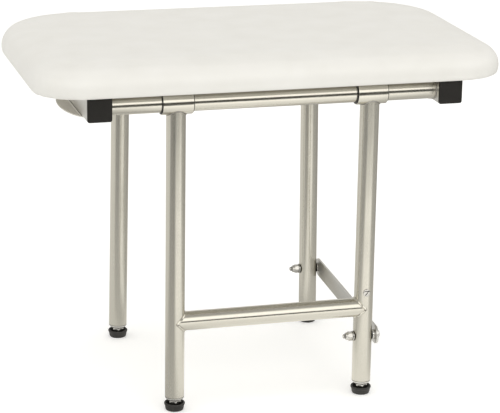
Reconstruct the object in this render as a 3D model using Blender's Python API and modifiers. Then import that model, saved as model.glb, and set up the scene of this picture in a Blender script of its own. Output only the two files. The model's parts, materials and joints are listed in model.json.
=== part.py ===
"""Padded shower stool with folding tube legs.

A cushioned seat is bolted to two square steel arms. Two round cross tubes
are welded between the arms. The front legs, an H of round tube, turn on the
front cross tube, and the rear legs turn on the rear one. A flat link bar on
the right joins the two leg frames low down, so that they swing together and
stay parallel. Every leg stands on a levelling foot that screws in and out.

X runs to the right, Y to the back and Z up. The origin is on the floor,
below the middle of the seat. All sizes are in metres.
"""

import math

import bmesh
import bpy
from mathutils import Matrix, Vector

OBJECT_NAME = "shower_stool"

# ---- driving dimensions ----------------------------------------------------

# seat cushion
SEAT_WIDTH = 0.626
SEAT_DEPTH = 0.378
SEAT_UNDERSIDE = 0.434
PAD_THICKNESS = 0.040
PAD_FRONT_CORNER = 0.060
PAD_REAR_CORNER = 0.110
PAD_TOP_ROLL = 0.026
PAD_BOTTOM_ROLL = 0.008

# board inside the cushion
BOARD_THICKNESS = 0.012
BOARD_MARGIN = 0.018

# square arms, as tall as the sleeves are wide
ARM_WALL = 0.0020
ARM_CORNER = 0.0030
ARM_INSET = 0.0805
ARM_FRONT_OVERHANG = 0.020
ARM_REAR_OVERHANG = 0.022
CAP_PLATE = 0.0035
CAP_EDGE = 0.0012
CAP_PLUG_LENGTH = 0.012
CAP_EDGE_ANGLE = math.radians(60.0)

# round tubes
TUBE_OUTER = 0.0254
TUBE_WALL = 0.0015

# pivots of the two leg frames, inside the cushion's front and rear edges
FRONT_PIVOT_INSET = 0.035
REAR_PIVOT_INSET = 0.053

# legs
FRONT_LEG_SPACING = 0.259
REAR_LEG_SPACING_TOP = 0.2755
REAR_LEG_SPACING_FLOOR = 0.2865
CROSS_BAR_HEIGHT = 0.1225

# sleeves and their nylon bushes
SLEEVE_WALL = 0.0015
FRONT_SLEEVE_LENGTH = 0.040
REAR_SLEEVE_OVERHANG = 0.020
BUSH_WALL = 0.001075
BUSH_DEPTH = 0.014
BUSH_FLANGE = 0.0008
BUSH_FLANGE_STEP = 0.0012

# link bar and its bolts
LINK_HEIGHT = 0.082
LINK_WIDTH = 0.0254
LINK_THICKNESS = 0.003
LINK_GAP_REAR = 0.0024
LINK_GAP_FRONT = 0.0044
LINK_BOLT_RADIUS = 0.0030
LINK_HEAD_RADIUS = 0.0058
LINK_HEAD_HEIGHT = 0.0030
LINK_NUT_FLATS = 0.0110
LINK_NUT_HEIGHT = 0.0065
LINK_DOME_HEIGHT = 0.0035
LINK_CROWN_SHARE = 0.96
LINK_WASHER_RADIUS = 0.0068
LINK_WASHER_THICKNESS = 0.0014
LINK_TIP_LENGTH = 0.0030
LINK_SPACER_RADIUS = 0.0065

# slotted screw on the front right leg
SCREW_HEIGHT = 0.146
SCREW_SHANK_RADIUS = 0.0020
SCREW_SHANK_LENGTH = 0.0075
SCREW_HEAD_RADIUS = 0.0050
SCREW_HEAD_HEIGHT = 0.0024
SCREW_SLOT_WIDTH = 0.0012
SCREW_SLOT_DEPTH = 0.0011
SCREW_SLOT_ANGLE = math.radians(40.0)

# levelling feet
INSERT_LIP = 0.0042
INSERT_DEPTH = 0.022
STUD_RADIUS = 0.0040
STUD_LENGTH = 0.0427
FOOT_HEX_FLATS = 0.013
FOOT_HEX_HEIGHT = 0.0080
FOOT_HEIGHT = 0.0105
FOOT_SOLE_RADIUS = 0.0112
FOOT_RIM_RADIUS = 0.0139
FOOT_RECESS_RADIUS = 0.0112
FOOT_RECESS_FLOOR = 0.0059
FOOT_SOCKET_FLOOR = 0.0030
FOOT_ROUNDING = 0.0012

# oval plates under the arms
PLATE_WIDTH = 0.0670
PLATE_LENGTH = 0.1480
PLATE_THICKNESS = 0.0018
PLATE_BEHIND_PIVOT = 0.082

# seat bolts and their tee nuts in the board
SEAT_BOLT_RADIUS = 0.0030
SEAT_BOLT_HEAD_RADIUS = 0.0056
SEAT_BOLT_HEAD_HEIGHT = 0.0032
SEAT_BOLT_OFFSET = 0.045
SEAT_BOLT_REAR_INSET = 0.050
TEE_NUT_RADIUS = 0.0045
TEE_NUT_FLANGE_RADIUS = 0.0090
TEE_NUT_FLANGE = 0.0012
TEE_NUT_DEPTH_SHARE = 0.75

# play between neighbouring pieces
GAP = 0.0003
BOLT_PLAY = 0.0003
OPEN_PIVOT_PLAY = 0.0006

# length of a cutter, as a multiple of what it cuts through
CUT_THROUGH = 4

# smoothness of round pieces
TUBE_STEPS = 24
SMALL_STEPS = 12
ARC_STEPS = 4
PAD_CORNER_STEPS = 8
PAD_ROLL_STEPS = 4
OVAL_STEPS = 32
SQUARE_CORNER_STEPS = 3
MERGE_DISTANCE = 0.00001
FLAT_ANGLE = math.radians(0.5)
SHARP_ANGLE = math.radians(35.0)

# ---- sizes that follow from them --------------------------------------------

TUBE_RADIUS = TUBE_OUTER / 2
TUBE_BORE = TUBE_RADIUS - TUBE_WALL
BUSH_BORE = TUBE_RADIUS + GAP
BUSH_RADIUS = BUSH_BORE + BUSH_WALL
SLEEVE_BORE = BUSH_RADIUS + GAP
SLEEVE_RADIUS = SLEEVE_BORE + SLEEVE_WALL
BUSH_FLANGE_RADIUS = SLEEVE_RADIUS - BUSH_FLANGE_STEP

ARM_SIDE = 2 * SLEEVE_RADIUS
ARM_SPACING = SEAT_WIDTH - 2 * ARM_INSET
ARM_TOP = SEAT_UNDERSIDE - GAP
ARM_AXIS_Z = ARM_TOP - ARM_SIDE / 2
ARM_BOTTOM = ARM_TOP - ARM_SIDE
PIVOT_Z = ARM_AXIS_Z
FRONT_PIVOT_Y = -SEAT_DEPTH / 2 + FRONT_PIVOT_INSET
REAR_PIVOT_Y = SEAT_DEPTH / 2 - REAR_PIVOT_INSET
PIVOT_DISTANCE = REAR_PIVOT_Y - FRONT_PIVOT_Y
ARM_FRONT_Y = FRONT_PIVOT_Y - ARM_FRONT_OVERHANG
ARM_REAR_Y = REAR_PIVOT_Y + ARM_REAR_OVERHANG
ARM_INNER_X = ARM_SPACING / 2 - ARM_SIDE / 2

PLATE_TOP = ARM_BOTTOM - GAP
PLATE_Y = FRONT_PIVOT_Y + PLATE_BEHIND_PIVOT

BOARD_BOTTOM = SEAT_UNDERSIDE
BOARD_TOP = BOARD_BOTTOM + BOARD_THICKNESS
POCKET_TOP = BOARD_TOP + TEE_NUT_FLANGE + 2 * GAP

FRONT_LEG_X = FRONT_LEG_SPACING / 2
REAR_SPLAY = (REAR_LEG_SPACING_FLOOR - REAR_LEG_SPACING_TOP) / 2 / PIVOT_Z

STUD_BOTTOM = FOOT_SOCKET_FLOOR + GAP
STUD_TOP = STUD_BOTTOM + STUD_LENGTH
FOOT_HEX_BOTTOM = FOOT_RECESS_FLOOR + GAP
FOOT_HEX_TOP = FOOT_HEX_BOTTOM + FOOT_HEX_HEIGHT
INSERT_SEAT = FOOT_HEX_TOP + GAP + INSERT_LIP
LEG_END_HEIGHT = INSERT_SEAT + GAP

SIDES = (("left", -1), ("right", 1))
ENDS = (("front", -1), ("rear", 1))


def rear_leg_x(height):
    """Half distance between the rear legs' axes at a height over the floor."""
    return REAR_LEG_SPACING_TOP / 2 + REAR_SPLAY * (PIVOT_Z - height)


# ---- scene set-up --------------------------------------------------------------


def clear_scene():
    for thing in list(bpy.data.objects):
        bpy.data.objects.remove(thing, do_unlink=True)


def new_collection(name):
    group = bpy.data.collections.new(name)
    bpy.context.scene.collection.children.link(group)
    return group


def new_material(name, colour, roughness, metallic):
    material = bpy.data.materials.new(name)
    material.use_nodes = True
    shader = material.node_tree.nodes["Principled BSDF"]
    shader.inputs["Base Color"].default_value = (*colour, 1.0)
    shader.inputs["Roughness"].default_value = roughness
    shader.inputs["Metallic"].default_value = metallic
    return material


clear_scene()
PARTS = new_collection(OBJECT_NAME)
CUTTERS = new_collection("cutters")

VINYL = new_material("white_vinyl", (0.86, 0.85, 0.81), 0.38, 0.0)
BOARD = new_material("sealed_board", (0.55, 0.52, 0.46), 0.60, 0.0)
STEEL = new_material("satin_stainless", (0.62, 0.60, 0.55), 0.28, 1.0)
BOLT_STEEL = new_material("bright_stainless", (0.70, 0.69, 0.66), 0.22, 1.0)
BLACK_PLASTIC = new_material("black_plastic", (0.020, 0.019, 0.017), 0.50, 0.0)
NYLON = new_material("black_nylon", (0.030, 0.030, 0.030), 0.45, 0.0)
RUBBER = new_material("black_rubber", (0.028, 0.027, 0.026), 0.72, 0.0)


# ---- modelling tools --------------------------------------------------------------


def link_object(name, data, group):
    thing = bpy.data.objects.new(name, data)
    group.objects.link(thing)
    return thing


def mesh_from(thing, name):
    """The evaluated object as a plain mesh, with its loose caps welded on."""
    bpy.context.view_layer.update()
    evaluated = thing.evaluated_get(bpy.context.evaluated_depsgraph_get())
    mesh = bpy.data.meshes.new_from_object(evaluated)
    mesh.name = name
    work = bmesh.new()
    work.from_mesh(mesh)
    bmesh.ops.remove_doubles(work, verts=work.verts, dist=MERGE_DISTANCE)
    bmesh.ops.dissolve_limit(work, angle_limit=FLAT_ANGLE, verts=work.verts, edges=work.edges)
    bmesh.ops.recalc_face_normals(work, faces=work.faces)
    work.to_mesh(mesh)
    work.free()
    return mesh


def solid(name, thing, material, smooth=False):
    """Replace a construction object with a clean mesh object of the part."""
    mesh = mesh_from(thing, name)
    mesh.materials.clear()
    mesh.materials.append(material)
    if smooth:
        mesh.shade_smooth()
        mesh.set_sharp_from_angle(angle=SHARP_ANGLE)
    part = link_object(name, mesh, PARTS)
    part.matrix_world = thing.matrix_world.copy()
    bpy.data.objects.remove(thing, do_unlink=True)
    return part


def turned(name, profile, steps, closed=False):
    """Turn a profile of (radius, height) points round the object's Z axis."""
    mesh = bpy.data.meshes.new(name)
    edges = [(i, i + 1) for i in range(len(profile) - 1)]
    if closed:
        edges.append((len(profile) - 1, 0))
    mesh.from_pydata([(radius, 0.0, height) for radius, height in profile], edges, [])
    thing = link_object(name, mesh, CUTTERS)
    screw = thing.modifiers.new("turn", "SCREW")
    screw.steps = steps
    screw.render_steps = steps
    screw.use_merge_vertices = True
    screw.merge_threshold = MERGE_DISTANCE
    return thing


def tube_profile(outer, bore, bottom, top):
    """Wall of a round tube, outer side first, from the top down."""
    return [(outer, top), (outer, bottom), (bore, bottom), (bore, top)]


def outline(name, loops, thickness):
    """A flat piece in its own XY plane, from closed loops of points."""
    curve = bpy.data.curves.new(name, "CURVE")
    curve.dimensions = "2D"
    curve.fill_mode = "BOTH"
    curve.extrude = thickness / 2
    for points in loops:
        spline = curve.splines.new("POLY")
        spline.points.add(len(points) - 1)
        for point, (x, y) in zip(spline.points, points):
            point.co = (x, y, 0.0, 1.0)
        spline.use_cyclic_u = True
    return link_object(name, curve, CUTTERS)


def arc(centre, radius, start, end, steps):
    """Points along an arc, its angles in degrees."""
    points = []
    for i in range(steps + 1):
        angle = math.radians(start + (end - start) * i / steps)
        points.append((centre[0] + radius * math.cos(angle), centre[1] + radius * math.sin(angle)))
    return points


def rounded_rectangle(width, depth, front_radius, rear_radius, steps):
    """Corner arcs of a rectangle about the origin, its front at low Y."""
    points = []
    corners = ((1, -1, front_radius), (1, 1, rear_radius), (-1, 1, rear_radius), (-1, -1, front_radius))
    for quarter, (side, end, radius) in enumerate(corners):
        centre = (side * (width / 2 - radius), end * (depth / 2 - radius))
        start = -90.0 + 90.0 * quarter
        points += arc(centre, radius, start, start + 90.0, steps)
    return points


def cut(part, cutter, operation="DIFFERENCE"):
    """Cut a part with a guide piece, or join the two."""
    cutter.hide_render = True
    cutter.display_type = "WIRE"
    boolean = part.modifiers.new("cut", "BOOLEAN")
    boolean.operation = operation
    boolean.solver = "EXACT"
    boolean.object = cutter
    return part


def round_cutter(name, radius, length, place):
    """A plain cylinder for cutting, its axis on Z before it is placed."""
    mesh = bpy.data.meshes.new(name)
    work = bmesh.new()
    bmesh.ops.create_cone(
        work, cap_ends=True, segments=TUBE_STEPS, radius1=radius, radius2=radius, depth=length
    )
    work.to_mesh(mesh)
    work.free()
    cutter = link_object(name, mesh, CUTTERS)
    cutter.matrix_world = place
    return cutter


def hexagon(name, flats, height):
    """A six-sided prism on Z, its bottom face at zero."""
    mesh = bpy.data.meshes.new(name)
    work = bmesh.new()
    corner = flats / 2 / math.cos(math.radians(30.0))
    bmesh.ops.create_cone(
        work, cap_ends=True, segments=6, radius1=corner, radius2=corner, depth=height
    )
    bmesh.ops.translate(work, verts=work.verts, vec=(0.0, 0.0, height / 2))
    work.to_mesh(mesh)
    work.free()
    return link_object(name, mesh, CUTTERS)


def at(x, y, z):
    return Matrix.Translation((x, y, z))


def along_x(x, y, z, direction=1):
    """Place a piece so that its own Z axis points to the right, or the left."""
    return at(x, y, z) @ Matrix.Rotation(direction * math.pi / 2, 4, "Y")


def along_y(x, y, z, direction=1):
    """Place a piece so that its own Z axis points to the back, or the front."""
    return at(x, y, z) @ Matrix.Rotation(-direction * math.pi / 2, 4, "X")


def empty(name, place):
    """The joint axis of a moving group, which its pieces are parented to."""
    pivot = link_object(name, None, PARTS)
    pivot.location = place
    bpy.context.view_layer.update()
    return pivot


def hang_on(pivot, pieces):
    """Parent pieces to their joint's empty without moving them."""
    bpy.context.view_layer.update()
    for piece in pieces:
        placed = piece.matrix_world.copy()
        piece.parent = pivot
        piece.matrix_parent_inverse = pivot.matrix_world.inverted()
        piece.matrix_world = placed


# ---- seat --------------------------------------------------------------------------


def pad_outline(inset):
    return rounded_rectangle(
        SEAT_WIDTH - 2 * inset,
        SEAT_DEPTH - 2 * inset,
        PAD_FRONT_CORNER - inset,
        PAD_REAR_CORNER - inset,
        PAD_CORNER_STEPS,
    )


def make_pad():
    """The cushion: an outline with rolled edges and a pocket for the board."""
    guide = outline("pad_outline", [pad_outline(0.0)], PAD_THICKNESS)
    guide.location = (0.0, 0.0, SEAT_UNDERSIDE + PAD_THICKNESS / 2)
    pad = solid("seat_pad", guide, VINYL, smooth=True)
    work = bmesh.new()
    work.from_mesh(pad.data)
    weights = work.edges.layers.float.new("bevel_weight_edge")
    for edge in work.edges:
        heights = [vertex.co.z for vertex in edge.verts]
        if min(heights) > 0.0:
            edge[weights] = 1.0
        elif max(heights) < 0.0:
            edge[weights] = PAD_BOTTOM_ROLL / PAD_TOP_ROLL
    work.to_mesh(pad.data)
    work.free()
    roll = pad.modifiers.new("rolled_edges", "BEVEL")
    roll.limit_method = "WEIGHT"
    roll.width = PAD_TOP_ROLL
    roll.segments = PAD_ROLL_STEPS
    roll.use_clamp_overlap = False
    pocket_height = POCKET_TOP - SEAT_UNDERSIDE
    pocket = outline("board_pocket", [pad_outline(BOARD_MARGIN - GAP)], 2 * pocket_height)
    pocket.location = (0.0, 0.0, SEAT_UNDERSIDE)
    cut(pad, as_cutter(pocket))


def as_cutter(guide):
    """A flat guide turned into a mesh that can cut."""
    mesh = mesh_from(guide, guide.name)
    cutter = link_object(guide.name + "_cutter", mesh, CUTTERS)
    cutter.matrix_world = guide.matrix_world.copy()
    bpy.data.objects.remove(guide, do_unlink=True)
    return cutter


def seat_bolt_places():
    """Name and (x, y) of every bolt that holds the seat to the arms."""
    places = []
    rows = (
        ("front", PLATE_Y - SEAT_BOLT_OFFSET),
        ("middle", PLATE_Y + SEAT_BOLT_OFFSET),
        ("rear", ARM_REAR_Y - SEAT_BOLT_REAR_INSET),
    )
    for side, sign in SIDES:
        for row, y in rows:
            places.append((f"{row}_{side}", sign * ARM_SPACING / 2, y))
    return places


def make_board():
    guide = outline("board_outline", [pad_outline(BOARD_MARGIN)], BOARD_THICKNESS)
    guide.location = (0.0, 0.0, BOARD_BOTTOM + BOARD_THICKNESS / 2)
    board = solid("seat_board", guide, BOARD)
    for name, x, y in seat_bolt_places():
        hole_radius = TEE_NUT_RADIUS + GAP
        middle = at(x, y, BOARD_BOTTOM + BOARD_THICKNESS / 2)
        cut(board, round_cutter(f"board_hole_{name}", hole_radius, CUT_THROUGH * BOARD_THICKNESS, middle))


def square_loop(side, corner):
    return rounded_rectangle(side, side, corner, corner, SQUARE_CORNER_STEPS)


def make_arm(side, sign):
    """A square tube from front to back, drilled for the seat bolts."""
    length = ARM_REAR_Y - ARM_FRONT_Y
    loops = [square_loop(ARM_SIDE, ARM_CORNER), square_loop(ARM_SIDE - 2 * ARM_WALL, ARM_CORNER - ARM_WALL)]
    guide = outline("arm_section", loops, length)
    guide.matrix_world = along_y(sign * ARM_SPACING / 2, (ARM_FRONT_Y + ARM_REAR_Y) / 2, ARM_AXIS_Z)
    arm = solid(f"{side}_arm", guide, STEEL)
    for name, x, y in seat_bolt_places():
        if name.endswith(side):
            hole_radius = SEAT_BOLT_RADIUS + BOLT_PLAY
            middle = at(x, y, ARM_AXIS_Z)
            cut(arm, round_cutter(f"arm_hole_{name}", hole_radius, CUT_THROUGH * ARM_SIDE, middle))


def make_arm_cap(side, sign, end, direction):
    """A black end cap: a plate over the arm's end and a plug inside it."""
    plug_side = ARM_SIDE - 2 * ARM_WALL - 2 * GAP
    plate = outline("cap_plate", [square_loop(ARM_SIDE, ARM_CORNER)], CAP_PLATE)
    plate.location = (0.0, 0.0, CAP_PLATE / 2)
    name = f"{side}_arm_{end}_cap"
    cap = solid(name, plate, BLACK_PLASTIC)
    soften = cap.modifiers.new("soft_edges", "BEVEL")
    soften.limit_method = "ANGLE"
    soften.angle_limit = CAP_EDGE_ANGLE
    soften.width = CAP_EDGE
    soften.segments = 2
    plug = outline("cap_plug", [square_loop(plug_side, ARM_CORNER - ARM_WALL)], CAP_PLUG_LENGTH)
    plug.location = (0.0, 0.0, -CAP_PLUG_LENGTH / 2 + CAP_PLATE / 2)
    cutter = as_cutter(plug)
    cut(cap, cutter, "UNION")
    arm_end = ARM_FRONT_Y if direction < 0 else ARM_REAR_Y
    place = along_y(sign * ARM_SPACING / 2, arm_end + direction * GAP, ARM_AXIS_Z, direction)
    for piece in (cap, cutter):
        piece.matrix_world = place @ at(*piece.location)


def make_pivot_tube(end, y):
    """A round cross tube between the arms' inner faces."""
    half = ARM_INNER_X - GAP
    guide = turned("pivot_section", tube_profile(TUBE_RADIUS, TUBE_BORE, -half, half), TUBE_STEPS, True)
    guide.matrix_world = along_x(0.0, y, PIVOT_Z)
    solid(f"{end}_pivot_tube", guide, STEEL, smooth=True)


def make_plate(side, sign):
    """The oval plate welded under an arm, where the seat bolts pass."""
    points = []
    for i in range(OVAL_STEPS):
        angle = 2 * math.pi * i / OVAL_STEPS
        points.append((PLATE_WIDTH / 2 * math.cos(angle), PLATE_LENGTH / 2 * math.sin(angle)))
    guide = outline("plate_outline", [points], PLATE_THICKNESS)
    guide.location = (sign * ARM_SPACING / 2, PLATE_Y, PLATE_TOP - PLATE_THICKNESS / 2)
    plate = solid(f"{side}_arm_plate", guide, STEEL)
    for name, x, y in seat_bolt_places():
        if name.endswith(side) and not name.startswith("rear"):
            hole_radius = SEAT_BOLT_RADIUS + BOLT_PLAY
            middle = at(x, y, PLATE_TOP - PLATE_THICKNESS / 2)
            cut(plate, round_cutter(f"plate_hole_{name}", hole_radius, CUT_THROUGH * PLATE_THICKNESS, middle))


def domed_bolt_profile(shank_radius, head_radius, head_height, length):
    """A round-headed bolt: its head's seat at zero, the shank going up."""
    dome = []
    for i in range(ARC_STEPS + 1):
        angle = math.radians(90.0 * i / ARC_STEPS)
        dome.append((head_radius * math.cos(angle), -head_height * math.sin(angle)))
    dome[-1] = (0.0, -head_height)
    return [(0.0, length), (shank_radius, length), (shank_radius, 0.0)] + dome


def make_seat_bolt(name, x, y):
    on_plate = not name.startswith("rear")
    seat = PLATE_TOP - PLATE_THICKNESS if on_plate else ARM_BOTTOM
    seat -= GAP
    length = BOARD_TOP - seat
    profile = domed_bolt_profile(SEAT_BOLT_RADIUS, SEAT_BOLT_HEAD_RADIUS, SEAT_BOLT_HEAD_HEIGHT, length)
    guide = turned("seat_bolt", profile, SMALL_STEPS)
    guide.location = (x, y, seat)
    solid(f"seat_bolt_{name}", guide, BOLT_STEEL, smooth=True)


def make_tee_nut(name, x, y):
    """The flanged barrel in the board that a seat bolt screws into."""
    bore = SEAT_BOLT_RADIUS + BOLT_PLAY
    top = TEE_NUT_FLANGE
    bottom = -BOARD_THICKNESS * TEE_NUT_DEPTH_SHARE
    profile = [
        (bore, top),
        (TEE_NUT_FLANGE_RADIUS, top),
        (TEE_NUT_FLANGE_RADIUS, 0.0),
        (TEE_NUT_RADIUS, 0.0),
        (TEE_NUT_RADIUS, bottom),
        (bore, bottom),
    ]
    guide = turned("tee_nut", profile, SMALL_STEPS, True)
    guide.location = (x, y, BOARD_TOP + GAP)
    solid(f"tee_nut_{name}", guide, BOLT_STEEL, smooth=True)


def make_seat():
    make_pad()
    make_board()
    for side, sign in SIDES:
        make_arm(side, sign)
        make_plate(side, sign)
        for end, direction in ENDS:
            make_arm_cap(side, sign, end, direction)
    make_pivot_tube("front", FRONT_PIVOT_Y)
    make_pivot_tube("rear", REAR_PIVOT_Y)
    for name, x, y in seat_bolt_places():
        make_seat_bolt(name, x, y)
        make_tee_nut(name, x, y)


# ---- leg frames ----------------------------------------------------------------------


def make_sleeve(name, x, y, length):
    profile = tube_profile(SLEEVE_RADIUS, SLEEVE_BORE, -length / 2, length / 2)
    guide = turned("sleeve_section", profile, TUBE_STEPS, True)
    guide.matrix_world = along_x(x, y, PIVOT_Z)
    return solid(name, guide, STEEL, smooth=True)


def make_bush(name, sleeve_end_x, y, direction):
    """A nylon bush in a sleeve's end, its flange outside."""
    profile = [
        (BUSH_BORE, BUSH_FLANGE),
        (BUSH_FLANGE_RADIUS, BUSH_FLANGE),
        (BUSH_FLANGE_RADIUS, 0.0),
        (BUSH_RADIUS, 0.0),
        (BUSH_RADIUS, -BUSH_DEPTH),
        (BUSH_BORE, -BUSH_DEPTH),
    ]
    guide = turned("bush_section", profile, TUBE_STEPS, True)
    guide.matrix_world = along_x(sleeve_end_x + direction * GAP, y, PIVOT_Z, direction)
    return solid(name, guide, NYLON, smooth=True)


def leg_frame(x_floor, x_top, y):
    """Origin and tilt of a leg whose axis leans sideways, at floor level."""
    lean = Vector((x_top - x_floor, 0.0, PIVOT_Z))
    turn = lean.to_track_quat("Z", "Y").to_matrix().to_4x4()
    return at(x_floor, y, 0.0) @ turn


def make_leg(name, place):
    """A round tube from its foot up to the sleeve, coped to fit round it."""
    profile = tube_profile(TUBE_RADIUS, TUBE_BORE, LEG_END_HEIGHT, PIVOT_Z)
    guide = turned("leg_section", profile, TUBE_STEPS, True)
    guide.matrix_world = place
    leg = solid(name, guide, STEEL, smooth=True)
    top = place @ Vector((0.0, 0.0, PIVOT_Z))
    sleeve_space = along_x(top.x, top.y, PIVOT_Z)
    cut(leg, round_cutter(f"{name}_cope", SLEEVE_RADIUS + GAP, CUT_THROUGH * TUBE_OUTER, sleeve_space))
    return leg


def make_cross_bar():
    """The tube that joins the front legs, its ends coped to them."""
    half = FRONT_LEG_X
    guide = turned("bar_section", tube_profile(TUBE_RADIUS, TUBE_BORE, -half, half), TUBE_STEPS, True)
    guide.matrix_world = along_x(0.0, FRONT_PIVOT_Y, CROSS_BAR_HEIGHT)
    bar = solid("front_cross_bar", guide, STEEL, smooth=True)
    for side, sign in SIDES:
        leg_space = at(sign * FRONT_LEG_X, FRONT_PIVOT_Y, CROSS_BAR_HEIGHT)
        cut(bar, round_cutter(f"bar_cope_{side}", TUBE_RADIUS + GAP, CUT_THROUGH * TUBE_OUTER, leg_space))
    return bar


def make_insert(name, place):
    """The steel plug in a leg's end, with a rounded lip and a threaded hole."""
    bore = STUD_RADIUS + BOLT_PLAY
    plug = TUBE_BORE - GAP
    seat = INSERT_SEAT
    lip = []
    for i in range(ARC_STEPS + 1):
        angle = math.radians(90.0 * i / ARC_STEPS)
        lip.append((TUBE_RADIUS - INSERT_LIP * (1 - math.cos(angle)), seat - INSERT_LIP * math.sin(angle)))
    profile = [(bore, seat + INSERT_DEPTH), (plug, seat + INSERT_DEPTH), (plug, seat)]
    profile += lip
    profile.append((bore, seat - INSERT_LIP))
    guide = turned("insert_section", profile, TUBE_STEPS, True)
    guide.matrix_world = place
    return solid(name, guide, BOLT_STEEL, smooth=True)


def make_foot_stud(name, x, y):
    """Threaded rod of a levelling foot, with its hexagon."""
    profile = [(0.0, STUD_TOP), (STUD_RADIUS, STUD_TOP), (STUD_RADIUS, STUD_BOTTOM), (0.0, STUD_BOTTOM)]
    guide = turned("stud_section", profile, SMALL_STEPS)
    guide.location = (x, y, 0.0)
    stud = solid(name, guide, BOLT_STEEL, smooth=True)
    collar = hexagon(f"{name}_hexagon", FOOT_HEX_FLATS, FOOT_HEX_TOP - FOOT_HEX_BOTTOM)
    collar.location = (x, y, FOOT_HEX_BOTTOM)
    cut(stud, collar, "UNION")
    return stud


def make_foot_cup(name, x, y):
    """Black cup that stands on the floor, open at the top round the hexagon."""
    socket = STUD_RADIUS + GAP
    profile = [
        (0.0, FOOT_SOCKET_FLOOR),
        (socket, FOOT_SOCKET_FLOOR),
        (socket, FOOT_RECESS_FLOOR),
        (FOOT_RECESS_RADIUS, FOOT_RECESS_FLOOR),
        (FOOT_RECESS_RADIUS, FOOT_HEIGHT),
        (FOOT_RIM_RADIUS - FOOT_ROUNDING, FOOT_HEIGHT),
        (FOOT_RIM_RADIUS, FOOT_HEIGHT - FOOT_ROUNDING),
        (FOOT_SOLE_RADIUS + FOOT_ROUNDING, FOOT_ROUNDING),
        (FOOT_SOLE_RADIUS, 0.0),
        (0.0, 0.0),
    ]
    guide = turned("cup_section", profile, TUBE_STEPS)
    guide.location = (x, y, 0.0)
    return solid(name, guide, RUBBER, smooth=True)


def make_foot(name, x, y):
    """The cup and the stud of one foot, hung on the axis that they screw along."""
    pieces = [make_foot_cup(f"{name}_foot", x, y), make_foot_stud(f"{name}_foot_stud", x, y)]
    hang_on(empty(f"{name}_foot_axis", (x, y, 0.0)), pieces)


def link_bolt_parts(end, leg_x, y, bar_inner_x, gap_to_leg):
    """Bolt, domed nut and spacer of one end of the link bar."""
    leg_right = leg_x + TUBE_RADIUS
    leg_left = leg_x - TUBE_RADIUS
    nut_side = leg_left - GAP - LINK_WASHER_THICKNESS - LINK_NUT_HEIGHT - LINK_DOME_HEIGHT
    head_seat = bar_inner_x + LINK_THICKNESS + 3 * GAP
    length = head_seat - nut_side + LINK_TIP_LENGTH
    profile = domed_bolt_profile(LINK_BOLT_RADIUS, LINK_HEAD_RADIUS, LINK_HEAD_HEIGHT, length)
    guide = turned("link_bolt", profile, SMALL_STEPS)
    guide.matrix_world = along_x(head_seat, y, LINK_HEIGHT, -1)
    bolt = solid(f"{end}_link_bolt", guide, BOLT_STEEL, smooth=True)

    bore = LINK_BOLT_RADIUS + BOLT_PLAY
    spacer_length = gap_to_leg - 2 * GAP
    profile = tube_profile(LINK_SPACER_RADIUS, bore, 0.0, spacer_length)
    guide = turned("link_spacer", profile, SMALL_STEPS, True)
    guide.matrix_world = along_x(leg_right + GAP, y, LINK_HEIGHT)
    spacer = solid(f"{end}_link_spacer", guide, BOLT_STEEL, smooth=True)

    nut = make_domed_nut(f"{end}_link_nut", along_x(leg_left - GAP, y, LINK_HEIGHT, -1))
    return [bolt, spacer, nut]


def make_domed_nut(name, place):
    """A lock nut with its washer face and a rounded crown round the bolt's tip."""
    bore = LINK_BOLT_RADIUS + BOLT_PLAY
    crown_start = LINK_WASHER_THICKNESS + LINK_NUT_HEIGHT
    crown_foot = LINK_NUT_FLATS / 2 * LINK_CROWN_SHARE
    profile = [(bore, crown_start + LINK_DOME_HEIGHT)]
    for i in range(ARC_STEPS + 1):
        angle = math.radians(90.0 - 90.0 * i / ARC_STEPS)
        radius = bore + GAP + (crown_foot - bore - GAP) * math.cos(angle)
        profile.append((radius, crown_start + LINK_DOME_HEIGHT * math.sin(angle)))
    profile += [
        (crown_foot, LINK_WASHER_THICKNESS),
        (LINK_WASHER_RADIUS, LINK_WASHER_THICKNESS),
        (LINK_WASHER_RADIUS, 0.0),
        (bore, 0.0),
    ]
    guide = turned("nut_section", profile, SMALL_STEPS, True)
    guide.matrix_world = place
    nut = solid(name, guide, BOLT_STEEL, smooth=True)
    prism = hexagon(f"{name}_hexagon", LINK_NUT_FLATS, LINK_NUT_HEIGHT)
    prism.matrix_world = place @ at(0.0, 0.0, LINK_WASHER_THICKNESS)
    cut(nut, prism, "UNION")
    nut_length = LINK_WASHER_THICKNESS + LINK_NUT_HEIGHT + LINK_DOME_HEIGHT
    bore_place = place @ at(0.0, 0.0, nut_length / 2)
    cut(nut, round_cutter(f"{name}_bore", bore, CUT_THROUGH * nut_length, bore_place))
    return nut


def drill_for_link_bolt(leg, leg_x, y):
    hole_radius = LINK_BOLT_RADIUS + BOLT_PLAY
    place = along_x(leg_x, y, LINK_HEIGHT)
    cut(leg, round_cutter(f"{leg.name}_link_hole", hole_radius, 2 * TUBE_OUTER, place))


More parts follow.
